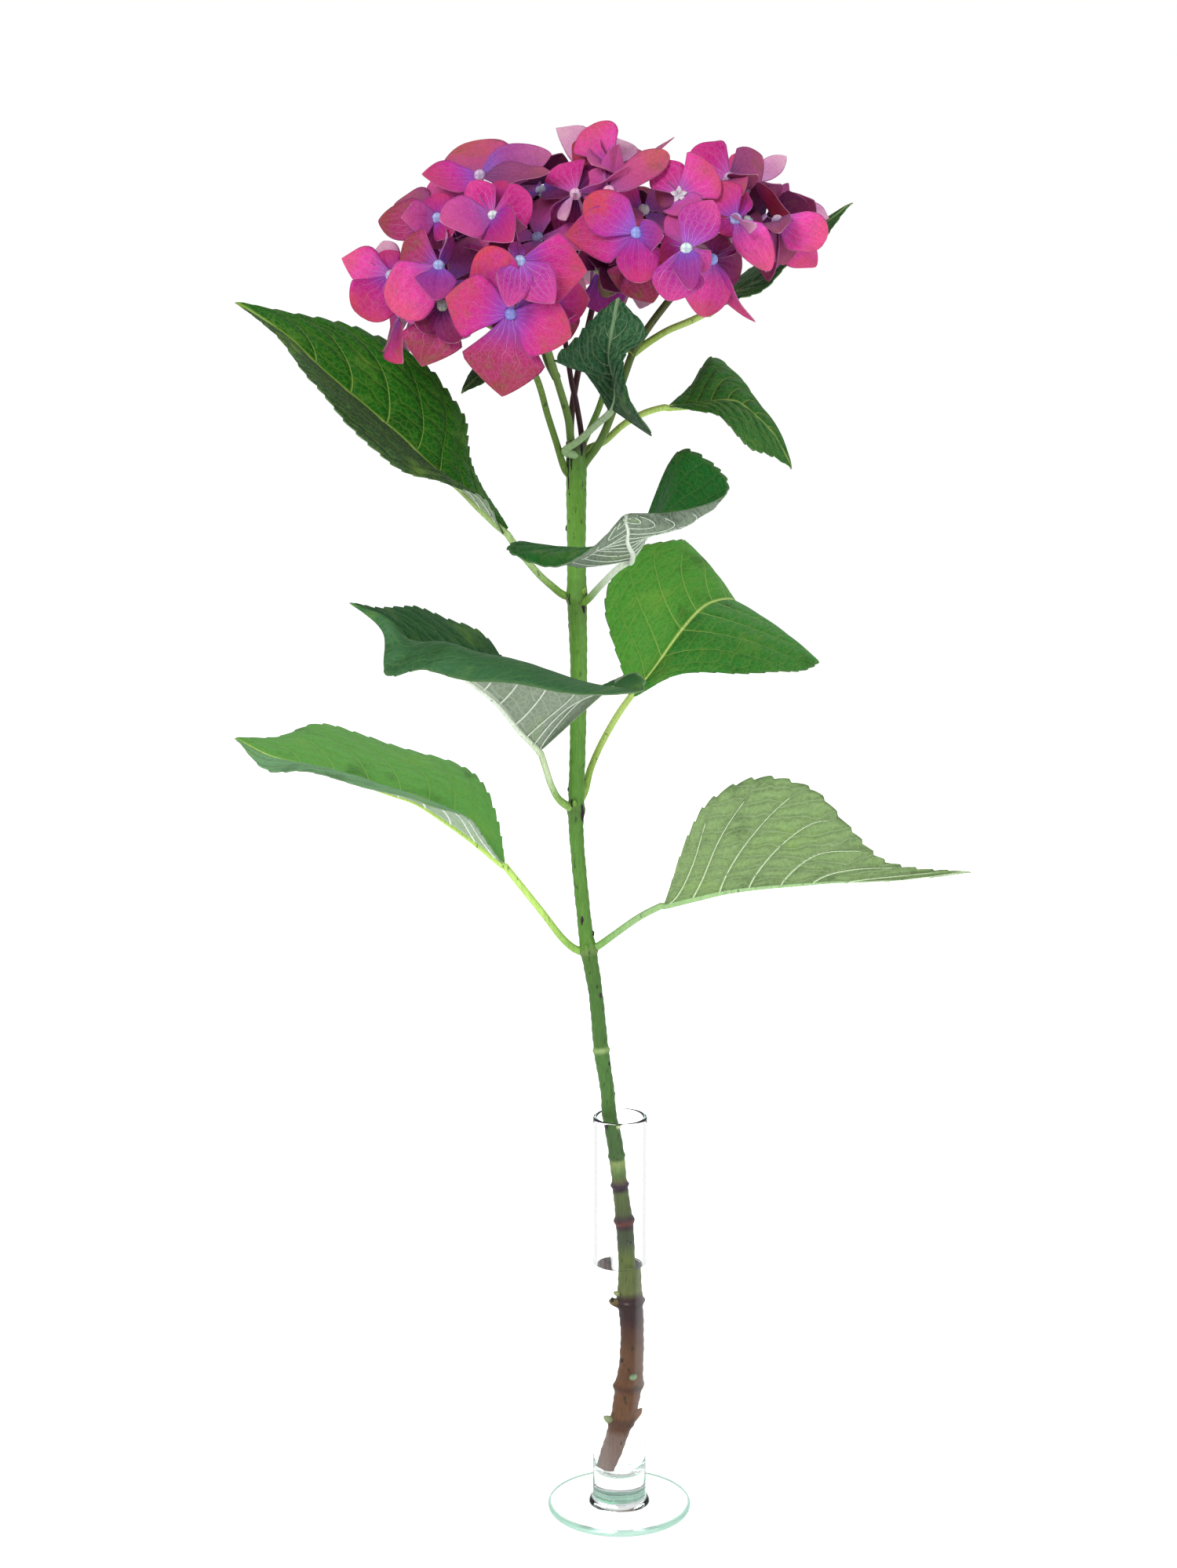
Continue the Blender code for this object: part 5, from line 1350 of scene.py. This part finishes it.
def make_leaf(name, leaf, relief, skins, order):
    """One leaf blade, from its rows."""
    blade = Blade(leaf)
    rows = int(blade.length * LEAF_ROWS_PER_MM)
    marks = {key: [] for key in "out across span length lane quilt over inward flat".split()}
    points = []
    # Side veins slant, so they lie closer together than they leave the midrib.
    pitch = blade.length / blade.veins * 0.75
    for i in range(rows + 1):
        t = i / rows
        row = blade.row(t)
        for k in range(-LEAF_COLUMNS, LEAF_COLUMNS + 1):
            s = k / LEAF_COLUMNS
            half = (row[2 if s > 0 else 1] - row[0]).length
            point = blade.spot(row, t, s)
            points.append(point)
            marks["out"].append(t)
            marks["across"].append(s)
            marks["span"].append(half)
            marks["length"].append(blade.length)
            marks["lane"].append(blade.lane(t, s))
            marks["quilt"].append(leaf["quilt"])
            marks["over"].append(row[3])
            marks["inward"].append((row[0] - row[2 if s > 0 else 1]).normalized())
            marks["flat"].append((half * s, t * blade.length, pitch))
    wide = 2 * LEAF_COLUMNS + 1
    faces = [(i * wide + k, i * wide + k + 1, (i + 1) * wide + k + 1, (i + 1) * wide + k)
             for i in range(rows) for k in range(wide - 1)]
    # The left half's green above; on leaf_a and leaf_g it is painted sheen.
    left = leaf.get("left", leaf["skin"][0])
    marks["skin_above"] = [linear(left if s < 0 else leaf["skin"][0]) for s in marks["across"]]
    marks["skin_beneath"] = [linear(leaf["skin"][1])] * len(points)
    marks["vein_above"], marks["vein_beneath"] = ([linear(code)] * len(points) for code in leaf["veins"])
    piece = new_piece(name + "_blade", points, faces=faces, **marks)
    grow(piece, relief, Quilting=0.7 * leaf["quilt"], Groove=0.1 + 0.3 * leaf["quilt"],
         Tooth_depth=leaf["teeth"], Phase=order * 1.9, Wave_length=26.0 + 3.0 * (order % 4), Skin=skins[0])
    return thicken(piece, LEAF_THICKNESS, skins[1])


def make_leaf_ribs(tubes, rind):
    """Petioles that run on as midribs, and the side ribs that stand out beneath every blade."""
    lines = []
    for leaf in LEAVES.values():
        blade = Blade(leaf)
        near, far, ridge = leaf["stalk"]
        petiole = smooth_line(leaf["petiole"], [PETIOLE_RADIUS * s for s in (1.35, 1.1, 1, 1, 0.98)],
                              (near, near, far, far), 24)[:-1]
        rib = []
        for k in range(MIDRIB_SPOTS):
            t = MIDRIB_END * k / (MIDRIB_SPOTS - 1)
            row = blade.row(t)
            radius = PETIOLE_RADIUS * (0.98 - 0.8 * t ** 0.8)
            tint = tints_between(((0, far), (0.25, ridge), (1, ridge)), t)
            rib.append((blade.spot(row, t, 0) - row[3] * radius * 0.62, radius, tint))
        lines.append(petiole + rib)
        tint = linear(leaf["veins"][1])
        for n in range(blade.veins):
            foot = n / blade.veins
            for way in (-1, 1):
                side = []
                for k in range(SIDE_RIB_SPOTS):
                    s = SIDE_RIB_END * k / (SIDE_RIB_SPOTS - 1)
                    t = foot + VEIN_SWING * s ** 1.3
                    if t > 0.96:
                        break
                    row = blade.row(t)
                    radius = SIDE_RIB_RADIUS * (1 - 0.6 * s) * (1 - 0.4 * foot)
                    under = row[3] * (0.4 + 0.3 * leaf["quilt"])
                    side.append((blade.spot(row, t, s * way) - under, radius, tint))
                if len(side) > 3:
                    lines.append(side)
    return grow(line_piece("leaf_ribs", lines), tubes, Sides=8, Rind=rind)


def dome_place(k, count, lowest, share):
    """The k-th of the places spread evenly over the dome: the eye of a floret there, and the way it faces."""
    rise = 1 - (1 - lowest) * (k + 0.5) / count
    ring = math.sqrt(max(0.0, 1 - rise * rise))
    unit = Vector((ring * math.cos(GOLDEN_TURN * k), ring * math.sin(GOLDEN_TURN * k), rise))
    centre = Vector(DOME_CENTRE)
    eye = centre + Vector([unit[i] * DOME_RADII[i] * share for i in range(3)])
    eye.z += DOME_TILT * (eye.x - centre.x)
    return eye, Vector([unit[i] / DOME_RADII[i] for i in range(3)]).normalized()


def outward_frame(facing):
    """Right, up and outward for a floret that faces that way."""
    up = Vector((0, 0, 1))
    if abs(facing.z) > 0.95:
        up = Vector((0, 1, 0))
    right = up.cross(facing).normalized()
    return right, facing.cross(right).normalized(), facing


def all_florets():
    """Every floret as (at the front, bead centre, its colour, frame, sepals, cup, bow), front ones first."""
    draw = random.Random(SEED)
    dye = random.Random(SEED + 1)
    found = []
    for eye, bead, sepals in FRONT_FLORETS:
        cup, bow = draw.uniform(*FRONT_CUP), draw.uniform(*SEPAL_BOW)
        found.append((True, Vector(eye), bead, FRONT_FRAME, sepals, cup, bow))
    for k in range(DOME_PLACES):
        eye, facing = dome_place(k, DOME_PLACES, DOME_LOWEST, 1 + DOME_LAYERS * (k % 3 - 1))
        nod = Vector([draw.uniform(*DOME_NOD) for _ in range(3)])
        first = draw.uniform(0, 90)
        sepals = []
        for q in range(4):
            sepals.append((first + 90 * q + draw.uniform(*DOME_BEARING), draw.uniform(*DOME_REACH),
                           draw.uniform(*DOME_WIDTH), draw.uniform(*DOME_LEAN), draw.uniform(*DOME_TWIST)))
        cup, bow = draw.uniform(*DOME_CUP), draw.uniform(*SEPAL_BOW)
        rim = RIM_AT_CENTRE + RIM_TILT * (eye.x - DOME_CENTRE[0])
        leaf_near = min((eye - Vector(p)).length for p in CLEAR_OF) < LEAF_SPACING
        if leaf_near or eye.y < FRONT_LIMIT or eye.z < rim:
            continue
        if min((eye - f[1]).length - (FRONT_SPACING if f[0] else FLORET_SPACING) for f in found) < 0:
            continue
        colour = dye.choice(DOME_DYES)
        sepals = [sepal + (colour if dye.random() < MAIN_DYE_SHARE else dye.choice(DOME_DYES),)
                  for sepal in sepals]
        bead = dye.choice(DOME_BEADS)
        found.append((False, eye, bead, outward_frame((facing + nod).normalized()), sepals, cup, bow))
    return found


def half_open(draw):
    """Four sepals, dark with painted shade, that stand up round their bead."""
    first = draw.uniform(0, 90)
    return [(first + 90 * q + draw.uniform(*INNER_BEARING), draw.uniform(*INNER_REACH),
             draw.uniform(*INNER_WIDTH), draw.uniform(*INNER_LEAN), draw.uniform(*INNER_TWIST),
             draw.choice(INNER_SHADE_DYES)) for q in range(4)]


def inner_florets(outer):
    """Half-open florets, dark with painted shade, on a smaller dome inside the outer one, clear of the outer
    beads.
    """
    draw = random.Random(SEED + 4)
    found = []
    for k in range(INNER_PLACES):
        eye, facing = dome_place(k, INNER_PLACES, INNER_DOWN_TO, INNER_SHARE)
        sepals = half_open(draw)
        nod = Vector([draw.uniform(*INNER_NOD) for _ in range(3)])
        if eye.z < INNER_LOWEST + RIM_TILT * (eye.x - DOME_CENTRE[0]):
            continue
        if min([(eye - f[1]).length for f in found] + [INNER_SPACING]) < INNER_SPACING:
            continue
        if min((eye - f[1]).length for f in outer) < INNER_CLEAR:
            continue
        axes = outward_frame((facing + nod).normalized())
        found.append((False, eye, SHADED_INNER_BEAD, axes, sepals, INNER_CUP, 0.0))
    for place in INNER_FRONT:
        found.append((False, Vector(place), SHADED_INNER_BEAD, FRONT_FRAME, half_open(draw), INNER_CUP, 0.0))
    return found


def sepal_marks(marks, root, frame, sepal, draw, **shape):
    """Adds one sepal's marks: its own way along, across and up, its size, its waves and its dye."""
    right, up, facing = frame
    bearing, reach, width, lean, twist, dye = sepal
    bearing, lean, twist = math.radians(bearing), math.radians(lean), math.radians(twist)
    flat = right * math.cos(bearing) + up * math.sin(bearing)
    along = flat * math.cos(lean) + facing * math.sin(lean)
    normal = (facing - along * facing.dot(along)).normalized()
    side = along.cross(normal)
    side, normal = (side * math.cos(twist) - normal * math.sin(twist),
                    normal * math.cos(twist) + side * math.sin(twist))
    dye, _, form = dye.partition(" ")
    heart, field, tip, olive, veining = DYES[dye]
    blunt, belly = FORMS[form]
    whims = {key: draw.uniform(*span) for key, span in SEPAL_WHIMS.items()}
    whims["blunt"] += blunt
    whims["belly"] += belly
    values = dict(root=root, along=along, side=side, normal=normal, reach=reach, width=width,
                  heart=linear(heart), field=linear(field), tip=linear(tip), olive=olive, veining=veining,
                  **whims, **shape)
    for key, value in values.items():
        marks.setdefault(key, []).append(value)


def make_sepals(name, florets, tree, skins, sheet, claw):
    """All the sepals of some florets, in one piece."""
    draw = random.Random(SEED + 2)
    marks = {}
    for _, eye, _, axes, sepals, cup, bow in florets:
        for q, sepal in enumerate(sepals):
            root = eye - axes[2] * (0.3 + 0.3 * (q % 2) + 0.03 * q)
            cupped = cup + draw.uniform(*SEPAL_CUP_WHIM)
            sepal_marks(marks, root, axes, sepal, draw, cup=cupped, bow=bow, claw=claw)
    piece = new_piece(name, marks["root"], **marks)
    grow(piece, tree, Rows=sheet[0], Columns=sheet[1], Skin=skins[0])
    return thicken(piece, SEPAL_THICKNESS, skins[1])


def make_open_flower(eye, tree, skins):
    """The one floret whose bud has opened: five small white petals."""
    draw = random.Random(SEED + 3)
    marks = {}
    for q in range(PETALS):
        sepal = (20 + 360 / PETALS * q, 2.9, 1.9, 20, 0, "white")
        root = eye + Vector((0, -1.9, 0.02 * q))
        sepal_marks(marks, root, FRONT_FRAME, sepal, draw, cup=0.3, bow=0.1, claw=0.8)
    marks["ruffle"] = [0.05] * PETALS
    piece = new_piece("open_flower", marks["root"], **marks)
    grow(piece, tree, Rows=PETAL_SHEET[0], Columns=PETAL_SHEET[1], Skin=skins[0])
    return thicken(piece, PETAL_THICKNESS, skins[1])


def make_beads(florets, wax):
    """The bud in each floret's eye."""
    marks = dict(thick=[BEAD_RADIUS * MM] * len(florets), facing=[f[3][2] for f in florets],
                 tint=[linear(f[2]) for f in florets])
    piece = new_piece("floret_beads", [f[1] for f in florets], **marks)
    return grow(piece, bead_tree(), Skin=wax)


def make_rays(florets, tubes, rind):
    """The rays, and a pedicel from the nearest fork to every floret."""
    lines = [smooth_line(ray, (radius, radius * 0.9, radius * 0.85), (near, far), 6 * len(ray))
             for ray, radius, near, far in RAYS]
    for _, eye, _, axes, *_ in florets:
        fork = Vector(min(FORKS, key=lambda f: (Vector(f) - eye).length))
        behind = eye - axes[2] * 0.6
        bend = fork.lerp(eye, 0.6) - axes[2] * 3
        radii = [PEDICEL_RADIUS * s for s in (1.2, 0.95, 1.1)]
        lines.append(smooth_line((fork, bend, behind), radii, PEDICEL_COLOURS, 12))
    return grow(line_piece("flower_rays", lines), tubes, Sides=12, Rind=rind)


def keep(piece, slot, *nodes):
    """A finished piece rides with the solids and stands for the nodes named."""
    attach(piece, "root")
    if nodes:
        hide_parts(*nodes)


def build():
    """Every piece of the flower, its vase and its water."""
    tubes = tube_tree()
    rind = shoot_rind()
    keep(make_vase(), "clear_glass", "vase")
    keep(make_water(), "still_water", "water")
    stem = make_stem(tubes, rind)
    keep(stem, "green_stem", "stem")
    keep(make_pores(stem, pore_skin()), "green_stem")
    relief = leaf_tree()
    leaf_skins = (leaf_skin("leaf_upper", "above", 0.4, 0.7, -0.8),
                  leaf_skin("leaf_under", "beneath", 0.62, 0.85, 1.0))
    for order, (name, leaf) in enumerate(LEAVES.items()):
        keep(make_leaf(name, leaf, relief, leaf_skins, order), "green_leaf", name)
    keep(make_leaf_ribs(tubes, rind), "green_leaf")
    florets = all_florets()
    tree = sepal_tree()
    sepal_skins = (sepal_skin("sepal_face", 0.0, 0.52, 0.85), sepal_skin("sepal_back", 0.5, 0.62, 0.6))
    front = [f for f in florets if f[0]]
    dome = [f for f in florets if not f[0]]
    inner = inner_florets(florets)
    front_sepals = make_sepals("front_sepals", front, tree, sepal_skins, FRONT_SHEET, FRONT_CLAW)
    keep(front_sepals, "pink_petal", "flower_head")
    keep(make_sepals("dome_sepals", dome, tree, sepal_skins, DOME_SHEET, DOME_CLAW), "pink_petal")
    keep(make_sepals("inner_sepals", inner, tree, sepal_skins, INNER_SHEET, DOME_CLAW), "pink_petal")
    keep(make_open_flower(florets[OPENED][1], tree, sepal_skins), "pink_petal")
    keep(make_beads([f for k, f in enumerate(florets) if k != OPENED], bead_skin()), "pink_petal")
    keep(make_rays(florets + inner, tubes, rind), "pink_petal")


def set_camera():
    """The photographer's view."""
    view = bpy.data.cameras.new("photo_view")
    view.sensor_fit = "VERTICAL"
    view.sensor_height = 36
    view.lens = LENS
    view.clip_start = 0.01
    camera = bpy.data.objects.new("photo_view", view)
    camera.location = Vector(CAMERA_PLACE) * MM
    camera.rotation_euler = (math.radians(90 - CAMERA_TILT), 0, 0)
    bpy.context.scene.collection.objects.link(camera)
    bpy.context.scene.camera = camera


def softbox(name, place, aim, size, power, colour, mirrored):
    """A square soft lamp turned towards a point. One that isn't mirrored puts no shine on anything."""
    lamp = bpy.data.lights.new(name, "AREA")
    lamp.size = size
    lamp.energy = power
    lamp.color = linear(colour)[:3]
    holder = bpy.data.objects.new(name, lamp)
    holder.location = place
    holder.visible_glossy = mirrored
    holder.rotation_euler = (Vector(aim) - Vector(place)).to_track_quat("-Z", "Y").to_euler()
    bpy.context.scene.collection.objects.link(holder)


def set_stage():
    """A white table under a white sky, with soft lamps and a dim band at each side for the glass to show."""
    ways = ((-1, -1), (1, -1), (1, 1), (-1, 1))
    corners = [(x * TABLE_REACH, y * TABLE_REACH, -TABLE_DROP) for x, y in ways]
    floor = new_piece("floor", corners, faces=[(0, 1, 2, 3)])
    table, tree = new_skin("white_table")
    ray = add(tree, "ShaderNodeLightPath").outputs
    know = {"mirrored": ray["Glossy Depth"], "through": ray["Transmission Depth"], "pale": linear("#fafafa"),
            "dim": linear("#6a6e6c")}
    know["place"] = add(tree, "ShaderNodeSeparateXYZ", [add(tree, "ShaderNodeTexCoord").outputs["Object"]])
    know["y"] = know["place"].outputs["Y"]
    follow(
        tree, know,
        # The more often light has been mirrored, the less the table dims it.
        ("often", "MapRange SMOOTHSTEP", "mirrored", 1.0, 3.0, 1.0, 0.2),
        # Under the glass it glows brighter so that it is as bright as round it: painted light that takes away
        # the glass's shadow.
        ("mirrored", "MINIMUM", "mirrored", 1.0),
        ("through", "MINIMUM", "through", 1.0),
        ("through", "SUBTRACT", "through", "mirrored"),
        ("through", "MAXIMUM", "through", 0.0),
        # Mirrored in the glass it is dimmer, and nearly dark in front of the vase: a painted reflection of a
        # dark room.
        ("near", "MapRange SMOOTHSTEP", "y", -0.02, -0.07, 0.6, 1.0),
        ("mirrors", "MULTIPLY", "mirrored", "near"),
        ("mirrors", "MULTIPLY", "mirrors", "often"),
        ("body", "Mix RGBA", "mirrors", "pale", "dim"),
        ("glow", "MULTIPLY_ADD", "mirrors", -0.62, 0.62),
        ("glow", "MULTIPLY_ADD", "through", 0.3, "glow"),
    )
    gloss = add(tree, "ShaderNodeBsdfPrincipled",
                {"Base Color": know["body"], "Roughness": 0.9, "Emission Color": linear("#ffffff"),
                 "Emission Strength": know["glow"]})
    add(tree, "ShaderNodeOutputMaterial", {"Surface": gloss})
    floor.data.materials.append(table)
    world = bpy.data.worlds.new("studio")
    world.use_nodes = True
    bpy.context.scene.world = world
    tree = world.node_tree
    tree.nodes.clear()
    way = add(tree, "ShaderNodeSeparateXYZ", [add(tree, "ShaderNodeTexCoord").outputs["Generated"]])
    ray = add(tree, "ShaderNodeLightPath").outputs
    know = {"x": way.outputs["X"], "y": way.outputs["Y"], "z": way.outputs["Z"],
            "seen": ray["Is Camera Ray"], "through": ray["Is Transmission Ray"],
            "scattered": ray["Diffuse Depth"], "mirrored": ray["Glossy Depth"],
            "inside": ray["Transmission Depth"], "white": linear("#ffffff"),
            "wall": linear("#c9ced3"), "band": linear("#b0bab6"), "dark": linear("#50585a")}
    follow(
        tree, know,
        ("aside", "ABSOLUTE", "x"),
        ("aside", "MapRange SMOOTHSTEP", "aside", 0.86, 0.97, 0.0, 1.0),
        ("rise", "MapRange SMOOTHSTEP", "z", -0.1, 0.9, 0.0, 1.0),
        ("room", "Mix RGBA", "rise", "wall", "white"),
        # The dark room behind the viewer, which shiny things mirror.
        ("mirrors", "MINIMUM", "mirrored", 1.0),
        ("inside", "MINIMUM", "inside", 1.0),
        ("inside", "MULTIPLY", "inside", "mirrors"),
        ("behind", "MapRange SMOOTHSTEP", "y", -0.25, -0.65, 0.0, 0.7),
        ("behind", "MULTIPLY", "behind", "mirrors"),
        ("lit", "MULTIPLY_ADD", "inside", -0.45, 1.0),
        ("behind", "MULTIPLY", "behind", "lit"),
        ("room", "Mix RGBA", "behind", "room", "dark"),
        # Plain white for what is seen straight or through the glass, and the room for all other light.
        ("bounced", "ADD", "scattered", "mirrored"),
        ("straight", "SUBTRACT", "through", "bounced"),
        ("plain", "MAXIMUM", "seen", "straight"),
        ("plain", "MAXIMUM", "plain", 0.0),
        ("sky", "Mix RGBA", "plain", "room", "white"),
        ("hide", "SUBTRACT", 1.0, "seen"),
        ("band_here", "MULTIPLY", "aside", "hide"),
        ("sky", "Mix RGBA", "band_here", "sky", "band"),
        ("strength", "MULTIPLY_ADD", "plain", 0.5, 0.52),
        ("strength", "MULTIPLY_ADD", "inside", 0.3, "strength"),
    )
    sky = add(tree, "ShaderNodeBackground", [know["sky"], know["strength"]])
    add(tree, "ShaderNodeOutputWorld", {"Surface": sky})
    for name, lamp in LAMPS.items():
        softbox(name, *lamp)
    bpy.context.scene.view_settings.view_transform = "Standard"
    # Light runs far up and down inside a glass wall before it comes out.
    light_paths = bpy.context.scene.cycles
    light_paths.max_bounces = 24
    light_paths.glossy_bounces = 16
    light_paths.transmission_bounces = 20


build()
set_camera()
set_stage()
